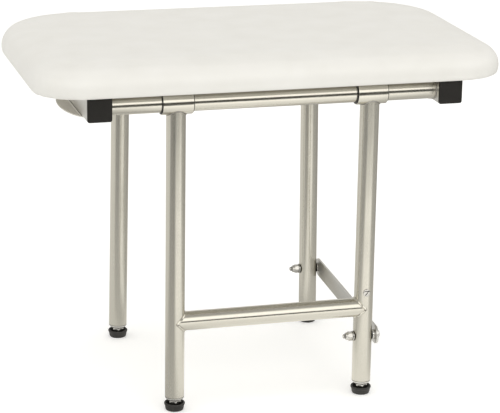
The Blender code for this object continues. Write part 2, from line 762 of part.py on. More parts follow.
def make_leg_screw(leg):
    """The slotted screw in the face of the front right leg."""
    surface_y = FRONT_PIVOT_Y - TUBE_RADIUS - GAP
    profile = domed_bolt_profile(
        SCREW_SHANK_RADIUS, SCREW_HEAD_RADIUS, SCREW_HEAD_HEIGHT, SCREW_SHANK_LENGTH
    )
    guide = turned("leg_screw", profile, SMALL_STEPS)
    guide.matrix_world = along_y(FRONT_LEG_X, surface_y, SCREW_HEIGHT)
    screw = solid("front_right_leg_screw", guide, BOLT_STEEL, smooth=True)
    mesh = bpy.data.meshes.new("screw_slot")
    work = bmesh.new()
    bmesh.ops.create_cube(work, size=1.0)
    size = (SCREW_SLOT_WIDTH, CUT_THROUGH * SCREW_HEAD_RADIUS, 2 * SCREW_SLOT_DEPTH)
    bmesh.ops.scale(work, verts=work.verts, vec=size)
    work.to_mesh(mesh)
    work.free()
    slot = link_object("screw_slot", mesh, CUTTERS)
    head_top = along_y(FRONT_LEG_X, surface_y - SCREW_HEAD_HEIGHT, SCREW_HEIGHT)
    slot.matrix_world = head_top @ Matrix.Rotation(SCREW_SLOT_ANGLE, 4, "Z")
    cut(screw, slot)

    hole = along_y(FRONT_LEG_X, surface_y, SCREW_HEIGHT)
    hole_radius = SCREW_SHANK_RADIUS + BOLT_PLAY
    cut(leg, round_cutter("leg_screw_hole", hole_radius, 2 * TUBE_RADIUS, hole))
    return screw


def make_front_legs():
    """The H frame that turns on the front pivot tube."""
    y = FRONT_PIVOT_Y
    pieces = [make_cross_bar()]
    for side, sign in SIDES:
        x = sign * FRONT_LEG_X
        place = leg_frame(x, x, y)
        leg = make_leg(f"front_{side}_leg", place)
        pieces.append(leg)
        pieces.append(make_insert(f"front_{side}_leg_insert", place))
        pieces.append(make_sleeve(f"front_{side}_sleeve", x, y, FRONT_SLEEVE_LENGTH))
        for hand, direction in (("outer", sign), ("inner", -sign)):
            sleeve_end = x + direction * FRONT_SLEEVE_LENGTH / 2
            pieces.append(make_bush(f"front_{side}_{hand}_bush", sleeve_end, y, direction))
        make_foot(f"front_{side}", x, y)
        if sign > 0:
            drill_for_link_bolt(leg, x, y)
            pieces.append(make_leg_screw(leg))
            bar_inner = x + TUBE_RADIUS + LINK_GAP_FRONT
            pieces += link_bolt_parts("front", x, y, bar_inner, LINK_GAP_FRONT)
    hang_on(empty("front_legs_axis", (0.0, y, PIVOT_Z)), pieces)


def make_rear_legs():
    """The pair of legs on one long sleeve that turns on the rear pivot tube."""
    y = REAR_PIVOT_Y
    sleeve_length = REAR_LEG_SPACING_TOP + 2 * REAR_SLEEVE_OVERHANG
    pieces = [make_sleeve("rear_sleeve", 0.0, y, sleeve_length)]
    for side, sign in SIDES:
        place = leg_frame(sign * rear_leg_x(0.0), sign * rear_leg_x(PIVOT_Z), y)
        leg = make_leg(f"rear_{side}_leg", place)
        pieces.append(leg)
        pieces.append(make_insert(f"rear_{side}_leg_insert", place))
        pieces.append(make_bush(f"rear_{side}_bush", sign * sleeve_length / 2, y, sign))
        make_foot(f"rear_{side}", sign * rear_leg_x(LEG_END_HEIGHT), y)
        if sign > 0:
            x = rear_leg_x(LINK_HEIGHT)
            drill_for_link_bolt(leg, x, y)
            pieces += link_bolt_parts("rear", x, y, x + TUBE_RADIUS + LINK_GAP_REAR, LINK_GAP_REAR)
    hang_on(empty("rear_legs_axis", (0.0, y, PIVOT_Z)), pieces)


# ---- link bar -----------------------------------------------------------------------------


def make_link_bar():
    """A flat bar with round ends, from the rear right to the front right leg."""
    front_inner = FRONT_LEG_X + TUBE_RADIUS + LINK_GAP_FRONT
    rear_inner = rear_leg_x(LINK_HEIGHT) + TUBE_RADIUS + LINK_GAP_REAR
    sideways = rear_inner - front_inner
    length = math.hypot(PIVOT_DISTANCE, sideways)
    radius = LINK_WIDTH / 2
    points = arc((0.0, 0.0), radius, 180.0, 360.0, 2 * ARC_STEPS)
    points += arc((0.0, length), radius, 0.0, 180.0, 2 * ARC_STEPS)
    holes = []
    for hole_y, play in ((0.0, BOLT_PLAY), (length, OPEN_PIVOT_PLAY)):
        hole = arc((0.0, hole_y), LINK_BOLT_RADIUS + play, 0.0, 360.0, SMALL_STEPS)
        holes.append(hole[:-1])
    guide = outline("link_outline", [points, *holes], LINK_THICKNESS)
    flat = Matrix.Rotation(math.pi / 2, 4, "Y")
    skew = Matrix.Rotation(-math.atan2(sideways, PIVOT_DISTANCE), 4, "Z")
    place = at(front_inner + LINK_THICKNESS / 2, FRONT_PIVOT_Y, LINK_HEIGHT)
    guide.matrix_world = place @ skew @ flat
    bar = solid("link_bar", guide, STEEL)
    hang_on(empty("link_bar_axis", (front_inner, FRONT_PIVOT_Y, LINK_HEIGHT)), [bar])


make_seat()
make_front_legs()
make_rear_legs()
make_link_bar()
bpy.context.view_layer.update()
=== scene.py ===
# %% [markdown]
# # A padded shower stool, piece by piece
# This lesson dresses a measured model of a shower stool. The stool is a vinyl cushion on two
# square steel arms, with two pairs of round tube legs that swing together on a flat link bar.
# The measured model, which we call the frame, already knows where every piece is and how it
# moves. Here each piece gets the rounded edges, welds, threads and surfaces that a maker would
# give it.
#
# The first step is always to load the frame, because every size below is read from it.

# %% Load the frame
import json
import math

import bmesh
import bpy
from mathutils import Matrix, Vector


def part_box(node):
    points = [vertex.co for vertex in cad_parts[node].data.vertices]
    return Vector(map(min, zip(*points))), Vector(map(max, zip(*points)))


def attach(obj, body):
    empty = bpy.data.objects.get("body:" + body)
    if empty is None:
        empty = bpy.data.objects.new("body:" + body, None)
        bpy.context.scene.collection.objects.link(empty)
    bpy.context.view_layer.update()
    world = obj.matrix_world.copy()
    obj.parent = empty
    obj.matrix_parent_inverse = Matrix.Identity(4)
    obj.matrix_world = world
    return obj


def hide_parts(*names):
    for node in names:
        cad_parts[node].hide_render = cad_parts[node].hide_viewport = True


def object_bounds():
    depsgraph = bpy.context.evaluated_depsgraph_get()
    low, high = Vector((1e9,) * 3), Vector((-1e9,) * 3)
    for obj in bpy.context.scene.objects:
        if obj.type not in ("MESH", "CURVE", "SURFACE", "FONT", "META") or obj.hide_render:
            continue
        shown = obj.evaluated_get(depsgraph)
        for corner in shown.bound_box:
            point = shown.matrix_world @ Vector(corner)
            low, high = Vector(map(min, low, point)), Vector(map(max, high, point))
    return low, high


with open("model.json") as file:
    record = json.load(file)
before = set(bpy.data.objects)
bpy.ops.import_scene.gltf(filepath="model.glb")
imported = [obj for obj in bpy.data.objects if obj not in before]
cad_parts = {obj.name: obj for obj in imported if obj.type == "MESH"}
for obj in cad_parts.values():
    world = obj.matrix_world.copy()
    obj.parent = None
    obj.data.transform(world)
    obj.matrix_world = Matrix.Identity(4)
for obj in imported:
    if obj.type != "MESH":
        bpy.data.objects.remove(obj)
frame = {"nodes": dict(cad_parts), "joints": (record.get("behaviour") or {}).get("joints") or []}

cad_low, cad_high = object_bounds()
joints = {joint["name"]: joint for joint in frame["joints"]}
print("frame box, mm:", [round(1000 * size) for size in cad_high - cad_low])

# %% [markdown]
# One short helper reads a piece's box and adds its middle, and another gives its size. The two
# leg frames turn on the front and the rear cross tube, so those pivots come from the joints
# themselves.


# %% Read boxes and pivots
def box(node):
    low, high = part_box(node)
    return low, high, (low + high) / 2


def size(node):
    low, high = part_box(node)
    return high - low


PIVOTS = {
    "front": Vector(joints["leg_fold"]["pos_m"]),
    "rear": Vector(joints["rear_leg_fold"]["pos_m"]),
}
SIDES = {"left": -1, "right": 1}
TUBE_RADIUS = size("front_left_leg").y / 2
SLEEVE_RADIUS = size("front_left_sleeve").z / 2
ARM_SIDE = size("left_arm").x
print("tube radius, mm:", round(1000 * TUBE_RADIUS, 2))

# %% [markdown]
# ## How the shapes are made
# Nearly every piece of this stool is turned, bent or pressed, so it can be described as a row
# of rings: a circle, a hexagon or a rounded square that changes as it goes along. A loft joins
# one ring to the next. One helper therefore makes the tubes, the caps, the bolts, the feet and
# the cushion.


# %% Loft rings into a closed skin
def loft(rings, closed=False):
    """Join rings of points into one skin. A ring of one point closes to a tip."""
    skin = bmesh.new()
    rows = [[skin.verts.new(point) for point in points] for points in rings]
    pairs = list(zip(rows, rows[1:]))
    if closed:
        pairs.append((rows[-1], rows[0]))
    for first, second in pairs:
        count = max(len(first), len(second))
        for i in range(count):
            j = (i + 1) % count
            if len(first) == 1:
                skin.faces.new((first[0], second[j], second[i]))
            elif len(second) == 1:
                skin.faces.new((first[i], first[j], second[0]))
            else:
                skin.faces.new((first[i], first[j], second[j], second[i]))
    if not closed:
        for end in (rows[0], rows[-1]):
            if len(end) > 2:
                skin.faces.new(end)
    bmesh.ops.recalc_face_normals(skin, faces=skin.faces)
    return skin


# %% [markdown]
# A turned piece is a loft of circles, and a square tube or a cushion is a loft of rounded
# rectangles. Real turned edges are never knife sharp: the tool leaves a small round, which
# catches a thin line of light. `soften` puts that round on a drawn profile.


# %% Circles, rounded rectangles and the lathe
def circle(radius, height, steps):
    if radius == 0.0:
        return [Vector((0.0, 0.0, height))]
    turns = [2 * math.pi * i / steps for i in range(steps)]
    return [Vector((radius * math.cos(a), radius * math.sin(a), height)) for a in turns]


def right_angle(steps, first=0):
    """Cosine and sine at even steps through a right angle."""
    angles = [math.radians(90.0 * i / steps) for i in range(first, steps + 1)]
    return [(math.cos(a), math.sin(a)) for a in angles]


def rounded_ring(width, depth, radii, height, steps):
    """A rectangle with a radius for each corner, from front right round to front left."""
    points = []
    for quarter, (side, end) in enumerate(((1, -1), (1, 1), (-1, 1), (-1, -1))):
        radius = radii[quarter]
        x, y = side * (width / 2 - radius), end * (depth / 2 - radius)
        for i in range(steps + 1):
            a = math.radians(90.0 * (quarter - 1 + i / steps))
            points.append(Vector((x + radius * math.cos(a), y + radius * math.sin(a), height)))
    return points


def soften(corners, radius, closed=False, steps=3):
    """Round the corners of a profile of (radius, height) points."""
    corners = [Vector(corner) for corner in corners]
    if closed:
        trios = list(zip(corners[-1:] + corners[:-1], corners, corners[1:] + corners[:1]))
        points = []
    else:
        trios = list(zip(corners, corners[1:], corners[2:]))
        points = [corners[0]]
    for before, corner, after in trios:
        back, ahead = before - corner, after - corner
        reach = min(radius, 0.45 * back.length, 0.45 * ahead.length)
        start = corner + back.normalized() * reach
        end = corner + ahead.normalized() * reach
        for i in range(steps + 1):
            t = i / steps
            points.append(start * (1 - t) ** 2 + corner * 2 * t * (1 - t) + end * t**2)
    if not closed:
        points.append(corners[-1])
    return points


def turn(corners, edge=0.0004, steps=48, closed=False):
    profile = soften(corners, edge, closed)
    return loft([circle(point[0], point[1], steps) for point in profile], closed)


# %% [markdown]
# Pieces are drawn upright and then laid in place. `at`, `along_x` and `along_y` say where, and
# `finish_piece` turns the drawing into an object, smooths it except at true edges, gives it its
# finish and hands it to the body that carries it.

# %% Put a piece in place
EDGE_ANGLE = 38.0


def at(x, y, z):
    return Matrix.Translation((x, y, z))


def along_x(x, y, z, direction=1):
    return at(x, y, z) @ Matrix.Rotation(direction * math.pi / 2, 4, "Y")


def along_y(x, y, z, direction=1):
    return at(x, y, z) @ Matrix.Rotation(-direction * math.pi / 2, 4, "X")


def to_mesh(name, skin):
    mesh = bpy.data.meshes.new(name)
    skin.to_mesh(mesh)
    skin.free()
    return mesh


def add_object(name, data):
    thing = bpy.data.objects.new(name, data)
    bpy.context.scene.collection.objects.link(thing)
    return thing


def applied(thing):
    """A new mesh with the object's modifiers or curve settings worked into it."""
    bpy.context.view_layer.update()
    graph = bpy.context.evaluated_depsgraph_get()
    return bpy.data.meshes.new_from_object(thing.evaluated_get(graph))


def finish_piece(name, skin, finish, body, stands_for=(), place=None, edge_angle=EDGE_ANGLE):
    if place is not None:
        skin.transform(place)
    return finish_mesh(name, to_mesh(name, skin), finish, body, stands_for, edge_angle)


def finish_mesh(name, mesh, finish, body, stands_for=(), edge_angle=EDGE_ANGLE):
    mesh.materials.clear()
    mesh.materials.append(finish)
    mesh.shade_smooth()
    mesh.set_sharp_from_angle(angle=math.radians(edge_angle))
    piece = add_object(name, mesh)
    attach(piece, body)
    if stands_for:
        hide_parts(*stands_for)
    return piece


# %% [markdown]
# ## Finishes
# A finish is a shader with patterns. Some patterns serve several materials, so each is a node
# group with named sockets: brush lines for steel, moulded grain for vinyl, plastic and rubber,
# and rubbed edges for anything that gets handled. First come two helpers that add nodes and
# groups.


# %% Node helpers
MIX_A, MIX_B, MIX_RESULT = 6, 7, 2


def feed(tree, node, inputs):
    """Give each named socket a constant, or a link from another node."""
    for name, value in inputs.items():
        if isinstance(value, bpy.types.NodeSocket):
            tree.links.new(value, node.inputs[name])
        else:
            node.inputs[name].default_value = value
    return node


def add_node(tree, kind, inputs=None, **settings):
    node = tree.nodes.new(kind)
    for name, value in settings.items():
        setattr(node, name, value)
    return feed(tree, node, inputs or {})


print("helpers for nodes: feed and add_node")

# %% [markdown]
# The other helpers make a node group, use one, and add the few kinds of node that nearly every
# pattern needs.


# %% Group and pattern helpers
def new_group(name, inputs, outputs):
    group = bpy.data.node_groups.new(name, "ShaderNodeTree")
    for label, kind, value in inputs:
        socket = group.interface.new_socket(name=label, in_out="INPUT", socket_type=kind)
        socket.default_value = value
    for label in outputs:
        group.interface.new_socket(name=label, in_out="OUTPUT", socket_type="NodeSocketFloat")
    entry = group.nodes.new("NodeGroupInput")
    leave = group.nodes.new("NodeGroupOutput")
    return group, entry, leave


def use_group(tree, group, inputs):
    return add_node(tree, "ShaderNodeGroup", inputs, node_tree=group)


def math_node(tree, operation, first, second):
    return add_node(tree, "ShaderNodeMath", {0: first, 1: second}, operation=operation).outputs[0]


def vector_node(tree, operation, first, second):
    return add_node(tree, "ShaderNodeVectorMath", {0: first, 1: second}, operation=operation)


def noise_node(tree, place, scale, detail):
    inputs = {"Vector": place, "Scale": scale, "Detail": detail}
    return add_node(tree, "ShaderNodeTexNoise", inputs)


def object_place(tree):
    """A point of the piece itself, so that a pattern rides along when the piece moves."""
    return add_node(tree, "ShaderNodeTexCoord").outputs["Object"]


def spread(tree, value, low, high, low_to, high_to):
    """Map a pattern's range onto the range that a shader socket wants."""
    inputs = {"Value": value, "From Min": low, "From Max": high}
    inputs.update({"To Min": low_to, "To Max": high_to})
    return add_node(tree, "ShaderNodeMapRange", inputs).outputs["Result"]


def blend_colours(tree, amount, first, second):
    mix = add_node(tree, "ShaderNodeMix", {"Factor": amount}, data_type="RGBA")
    for socket, value in ((MIX_A, first), (MIX_B, second)):
        colour = value if isinstance(value, bpy.types.NodeSocket) else (*value, 1.0)
        feed(tree, mix, {socket: colour})
    return mix.outputs[MIX_RESULT]


# %% [markdown]
# Satin steel is rubbed with an abrasive belt, which leaves thousands of fine lines one way.
# Noise that is squeezed across the lines and stretched along them looks like that. The stretch
# is an input, so that the same group serves upright legs, cross tubes and arms. The second
# output is a slow, soft pattern of handling that makes some places a little duller.


# %% Group: brush lines
def make_brush_lines():
    inputs = [
        ("Stretch", "NodeSocketVector", (900.0, 900.0, 12.0)),
        ("Patch Size", "NodeSocketFloat", 18.0),
    ]
    group, entry, leave = new_group("brush_lines", inputs, ["Lines", "Patches"])
    place = object_place(group)
    squeezed = vector_node(group, "MULTIPLY", place, entry.outputs["Stretch"])
    fine = noise_node(group, squeezed.outputs[0], 1.0, 4.0)
    slow = noise_node(group, place, entry.outputs["Patch Size"], 3.0)
    feed(group, leave, {"Lines": fine.outputs[0], "Patches": slow.outputs[0]})
    return group


brush_lines = make_brush_lines()
print("node group made:", brush_lines.name)

# %% [markdown]
# Vinyl, plastic and rubber all come out of a mould or off an embossing roller, with a skin of
# tiny cells. Cells from a Voronoi pattern, broken up by noise, give that skin at any size.


# %% Group: moulded grain
WARP_REACH = 0.0016


def make_moulded_grain():
    inputs = [("Cell Scale", "NodeSocketFloat", 900.0), ("Mottle Scale", "NodeSocketFloat", 25.0)]
    group, entry, leave = new_group("moulded_grain", inputs, ["Height", "Mottle"])
    place = object_place(group)
    warp = noise_node(group, place, 260.0, 2.0)
    shift = vector_node(group, "MULTIPLY", warp.outputs[1], (WARP_REACH,) * 3)
    moved = vector_node(group, "ADD", place, shift.outputs[0])
    inputs = {"Vector": moved.outputs[0], "Scale": entry.outputs["Cell Scale"], "Smoothness": 0.6}
    cells = add_node(group, "ShaderNodeTexVoronoi", inputs, feature="SMOOTH_F1")
    mottle = noise_node(group, place, entry.outputs["Mottle Scale"], 3.0)
    feed(group, leave, {"Height": cells.outputs["Distance"], "Mottle": mottle.outputs[0]})
    return group


moulded_grain = make_moulded_grain()
print("node group made:", moulded_grain.name)

# %% [markdown]
# Edges wear first. A bevel lookup turns the surface's direction a little near an edge, so
# comparing the turned direction with the true one marks the edges. Noise breaks the mark up,
# because wear is never even.


# %% Group: rubbed edges
def make_rubbed_edges():
    inputs = [("Width", "NodeSocketFloat", 0.0010), ("Break Up", "NodeSocketFloat", 180.0)]
    group, entry, leave = new_group("rubbed_edges", inputs, ["Mask"])
    turned = add_node(group, "ShaderNodeBevel", {"Radius": entry.outputs["Width"]}, samples=4)
    true = add_node(group, "ShaderNodeNewGeometry").outputs["Normal"]
    alike = vector_node(group, "DOT_PRODUCT", turned.outputs[0], true)
    edge = spread(group, alike.outputs["Value"], 1.0, 0.90, 0.0, 1.0)
    place = object_place(group)
    noise = noise_node(group, place, entry.outputs["Break Up"], 3.0)
    broken = spread(group, noise.outputs[0], 0.35, 0.65, 0.15, 1.0)
    feed(group, leave, {"Mask": math_node(group, "MULTIPLY", edge, broken)})
    return group


rubbed_edges = make_rubbed_edges()
print("node group made:", rubbed_edges.name)

# %% [markdown]
# The opposite of a rubbed edge is a tight corner, where little light reaches. An occlusion lookup
# finds slots, thread grooves and the seams beside welds, so that shade can be painted into them
# as a darker colour.


# %% Group: painted shade in tight corners
def make_painted_corner_shade():
    reach = ("Reach", "NodeSocketFloat", 0.003)
    group, entry, leave = new_group("painted_corner_shade", [reach], ["Mask"])
    inputs = {"Distance": entry.outputs["Reach"]}
    open_sky = add_node(group, "ShaderNodeAmbientOcclusion", inputs, samples=6)
    # The mask says where shade is painted: the more hemmed in a point is, the darker its colour.
    feed(group, leave, {"Mask": spread(group, open_sky.outputs["AO"], 0.80, 0.35, 0.0, 1.0)})
    return group


painted_corner_shade = make_painted_corner_shade()
print("node group made:", painted_corner_shade.name)


# %% [markdown]
# ### Satin stainless steel
# The tubes are warm grey stainless with a satin rub. Metals have no colour of their own under
# the shine, so the base colour is the tint of the reflection. Brush lines move the roughness
# and raise a very low bump, and the slow patches dull the places that hands touch. Shade is
# painted as a darker colour into tight corners beside welds and between parts.


# %% Helpers for finishes
def new_finish(name):
    finish = bpy.data.materials.new(name)
    finish.use_nodes = True
    return finish, finish.node_tree, finish.node_tree.nodes["Principled BSDF"]


def bump(tree, height, strength, distance):
    inputs = {"Height": height, "Strength": strength, "Distance": distance}
    return add_node(tree, "ShaderNodeBump", inputs).outputs["Normal"]


def masked(tree, group, inputs, amount, below, above):
    """Lay one colour over another where a group's mask says, as strongly as the amount."""
    mask = use_group(tree, group, inputs).outputs["Mask"]
    return blend_colours(tree, math_node(tree, "MULTIPLY", mask, amount), below, above)


print("helpers for finishes: new_finish, bump and masked")

# %% [markdown]
# The rub runs along each piece, so there is one satin steel for upright legs, one for cross tubes
# and one for pieces that run from front to back. The plates under the arms are paler and duller.

# %% Satin steel along any axis
WARM_TINTS = ((0.705, 0.681, 0.608), (0.670, 0.646, 0.573))
NEUTRAL_TINTS = ((0.690, 0.680, 0.655), (0.660, 0.650, 0.622))
PALE_TINTS = ((0.90, 0.88, 0.83), (0.85, 0.83, 0.77))
STEEL_RUBBED = (0.76, 0.75, 0.72)
# The colour of the shade painted into tight corners beside welds and between parts.
STEEL_PAINTED_SHADE = (0.16, 0.15, 0.13)


def satin_steel(name, stretch, axis, tints=WARM_TINTS, dull=0.23, painted_shade=0.45, metal=1.0):
    light, dark = tints
    finish, tree, shader = new_finish(name)
    if axis:
        tangent = add_node(tree, "ShaderNodeTangent", direction_type="RADIAL", axis=axis)
        along = {"Anisotropic": 0.75, "Anisotropic Rotation": 0.25, "Tangent": tangent.outputs[0]}
        feed(tree, shader, along)
    lines = use_group(tree, brush_lines, {"Stretch": stretch, "Patch Size": 22.0})
    tint = spread(tree, lines.outputs["Lines"], 0.30, 0.70, 0.0, 1.0)
    colour = blend_colours(tree, tint, dark, light)
    rubbed = masked(tree, rubbed_edges, {"Width": 0.0009}, 0.35, colour, STEEL_RUBBED)
    grain = spread(tree, lines.outputs["Lines"], 0.30, 0.70, -0.02, 0.02)
    patch = spread(tree, lines.outputs["Patches"], 0.35, 0.65, dull - 0.02, dull + 0.03)
    inputs = {
        "Metallic": metal,
        # Painted shade: the occlusion mask darkens tight corners towards a near black colour.
        "Base Color": masked(tree, painted_corner_shade, {"Reach": 0.0025}, painted_shade, rubbed, STEEL_PAINTED_SHADE),
        "Roughness": math_node(tree, "ADD", grain, patch),
        "Normal": bump(tree, lines.outputs["Lines"], 0.05, 0.00008),
    }
    feed(tree, shader, inputs)
    return finish


FINE, LONG = 1100.0, 14.0
steel_upright = satin_steel("satin_steel_upright", (FINE, FINE, LONG), "Z")
steel_sideways = satin_steel("satin_steel_sideways", (LONG, FINE, FINE), "X")
steel_lengthwise = satin_steel(
    "satin_steel_lengthwise", (FINE, LONG, FINE), None, NEUTRAL_TINTS, 0.34, 0.3
)
steel_plate = satin_steel("satin_steel_plate", (300.0,) * 3, None, PALE_TINTS, 0.50, 0.1, 0.4)

# %% [markdown]
# ### Fastener steel and weld metal
# Bolts and nuts are turned from bright bar, so they shine more, and shade is painted into their
# slots and grooves as a near black colour. Weld metal is the opposite: cast, rippled and slightly
# tinted straw by the heat that made it.


# %% Bright fasteners and weld metal
def bright_steel():
    finish, tree, shader = new_finish("bright_fastener_steel")
    lines = use_group(tree, brush_lines, {"Stretch": (700.0,) * 3, "Patch Size": 60.0})
    tint = spread(tree, lines.outputs["Patches"], 0.3, 0.7, 0.0, 1.0)
    colour = blend_colours(tree, tint, (0.58, 0.565, 0.53), (0.72, 0.71, 0.68))
    handled = {"Width": 0.0006, "Break Up": 400.0}
    rubbed = masked(tree, rubbed_edges, handled, 0.5, colour, (0.85, 0.84, 0.81))
    # Painted shade: slots, thread grooves and the corners by washers are painted near black.
    groove_painted_shade = masked(tree, painted_corner_shade, {"Reach": 0.0020}, 0.9, rubbed, (0.07, 0.065, 0.06))
    inputs = {
        "Metallic": 1.0,
        "Base Color": groove_painted_shade,
        "Roughness": spread(tree, lines.outputs["Lines"], 0.3, 0.7, 0.12, 0.22),
        "Normal": bump(tree, lines.outputs["Lines"], 0.12, 0.00010),
    }
    feed(tree, shader, inputs)
    return finish


def weld_metal():
    finish, tree, shader = new_finish("weld_metal")
    lines = use_group(tree, brush_lines, {"Stretch": (420.0,) * 3, "Patch Size": 140.0})
    heat = spread(tree, lines.outputs["Patches"], 0.35, 0.70, 0.0, 1.0)
    inputs = {
        "Metallic": 1.0,
        "Base Color": blend_colours(tree, heat, (0.46, 0.445, 0.415), (0.36, 0.335, 0.295)),
        "Roughness": spread(tree, lines.outputs["Lines"], 0.3, 0.7, 0.34, 0.54),
        "Normal": bump(tree, lines.outputs["Lines"], 0.25, 0.00020),
    }
    feed(tree, shader, inputs)
    return finish


fastener_steel = bright_steel()
weld_steel = weld_metal()

# %% [markdown]
# ### Vinyl, plastic, nylon and rubber
# The four soft and moulded finishes share one recipe: a colour with slow mottling, a moulded
# skin as bump, a roughness that follows both, and rubbed edges. What differs is the numbers.
# Vinyl has the finest skin and a clear, low sheen, rubber has the coarsest skin and pale dust
# in it.


# %% Moulded finishes
def moulded(name, colours, cells, height, rough, edge_amount, shine=0.5):
    """Colours are those of the dark patches, the light patches and the rubbed edges."""
    dark, light, edge_colour = colours
    finish, tree, shader = new_finish(name)
    grain = use_group(tree, moulded_grain, {"Cell Scale": cells})
    tone = spread(tree, grain.outputs["Mottle"], 0.3, 0.7, 0.0, 1.0)
    colour = blend_colours(tree, tone, dark, light)
    worn = masked(tree, rubbed_edges, {"Width": 0.0011}, edge_amount, colour, edge_colour)
    inputs = {
        "Specular IOR Level": shine,
        "Base Color": worn,
        "Roughness": spread(tree, grain.outputs["Height"], 0.0, 0.8, rough[1], rough[0]),
        "Normal": bump(tree, grain.outputs["Height"], height, 0.00025),
    }
    feed(tree, shader, inputs)
    return finish


VINYL_COLOURS = ((0.835, 0.825, 0.785), (0.865, 0.857, 0.822), (0.88, 0.87, 0.84))
PLASTIC_COLOURS = ((0.012, 0.011, 0.009), (0.018, 0.016, 0.014), (0.055, 0.051, 0.045))
NYLON_COLOURS = ((0.022, 0.021, 0.020), (0.034, 0.033, 0.031), (0.060, 0.058, 0.055))
RUBBER_COLOURS = ((0.022, 0.021, 0.019), (0.038, 0.036, 0.033), (0.100, 0.096, 0.088))
white_vinyl = moulded(
    "white_vinyl_cover", VINYL_COLOURS, 1050.0, 0.10, (0.34, 0.46), 0.2
)
black_plastic = moulded(
    "black_cap_plastic", PLASTIC_COLOURS, 1500.0, 0.30, (0.46, 0.62), 0.8, 0.32
)
black_nylon = moulded(
    "black_bush_nylon", NYLON_COLOURS, 2200.0, 0.20, (0.36, 0.50), 0.5
)
black_rubber = moulded(
    "black_foot_rubber", RUBBER_COLOURS, 1300.0, 0.40, (0.48, 0.68), 0.9
)

# %% [markdown]
# ### Sealed plywood
# The board that the cushion is pulled over shows from below. It is plywood with a pale water-
# proof seal. Wood rings are noise stretched hard along the board, and the seal gives it a low
# shine.


# %% Sealed board
def sealed_plywood():
    finish, tree, shader = new_finish("sealed_plywood")
    lines = use_group(tree, brush_lines, {"Stretch": (9.0, 240.0, 240.0), "Patch Size": 9.0})
    tone = spread(tree, lines.outputs["Lines"], 0.30, 0.70, 0.0, 1.0)
    inputs = {
        "Base Color": blend_colours(tree, tone, (0.50, 0.475, 0.42), (0.60, 0.575, 0.52)),
        "Roughness": spread(tree, lines.outputs["Patches"], 0.3, 0.7, 0.45, 0.65),
        "Normal": bump(tree, lines.outputs["Lines"], 0.25, 0.0003),
    }
    feed(tree, shader, inputs)
    return finish


board_finish = sealed_plywood()

# %% [markdown]
# ## The cushion
# The seat is foam on a board, with white coated vinyl pulled over both and fixed underneath.
# The cover is one sheet without seams, so the edge is a smooth roll: wide at the top, tight
# below. It could be modelled as a rounded box, but then the top would be dead flat. Foam pushes
# the cover out, a little more in the middle than near the edge, and cloth simulation with air
# pressure does exactly that. So we draw a slightly small cushion, let it swell, and hold its
# underside where the board is.
#
# The outline is a rectangle whose rear corners are rounder than the front ones.

# %% Draw the cushion's outline
PAD_LOW, PAD_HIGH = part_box("seat_pad")
BOARD_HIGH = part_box("seat_board")[1]
PAD_FRONT_CORNER = 0.060
PAD_REAR_CORNER = 0.110
PAD_CORNERS = (PAD_FRONT_CORNER, PAD_REAR_CORNER, PAD_REAR_CORNER, PAD_FRONT_CORNER)
PAD_LEAST_CORNER = 0.004
PAD_SWELL = 0.0020
PAD_LIP = 0.0015
ROLL_BELOW = 0.005
ROLL_ABOVE = 0.027


def pad_ring(inset, height):
    width = PAD_HIGH.x - PAD_LOW.x - 2 * inset
    depth = PAD_HIGH.y - PAD_LOW.y - 2 * inset
    radii = [max(corner - inset, PAD_LEAST_CORNER) for corner in PAD_CORNERS]
    return rounded_ring(width, depth, radii, height, 14)


def pad_skin():
    """The cushion before it swells: a tight roll below, a wide one above, and a lip underneath."""
    low, top = PAD_LOW.z - PAD_LIP, PAD_HIGH.z - PAD_SWELL
    section = [(0.016, PAD_LOW.z), (0.011, PAD_LOW.z), (0.008, low)]
    for cosine, sine in right_angle(6):
        section.append((ROLL_BELOW * (1 - sine), low + ROLL_BELOW * (1 - cosine)))
    for cosine, sine in right_angle(10):
        section.append((ROLL_ABOVE * (1 - cosine), top - ROLL_ABOVE * (1 - sine)))
    return loft([pad_ring(inset, height) for inset, height in section])


print("cushion, mm:", [round(1000 * side) for side in PAD_HIGH - PAD_LOW])

# %% [markdown]
# The simulation needs an even mesh, so the drawing is remeshed into small cubes first. The pin
# group holds the part that rests on the board. Twenty steps are enough for the cover to go
# tight. Then each point keeps only its outward travel, up to a limit, because foam pushes but
# never pulls, and it can't stretch for ever.

# %% Swell the cushion
VOXEL = 0.0055
PRESSURE = 4.0
PRESSURE_STEPS = 20
COVER_STIFFNESS = 30.0
COVER_BENDING = 2.0
CROWN_LIMIT = 0.0030
SIDE_LIMIT = 0.0010


def even_mesh(start):
    """The drawing rebuilt from small, even squares."""
    remesh = start.modifiers.new("even_mesh", "REMESH")
    remesh.mode = "VOXEL"
    remesh.voxel_size = VOXEL
    mesh = applied(start)
    start.modifiers.clear()
    start.data = mesh


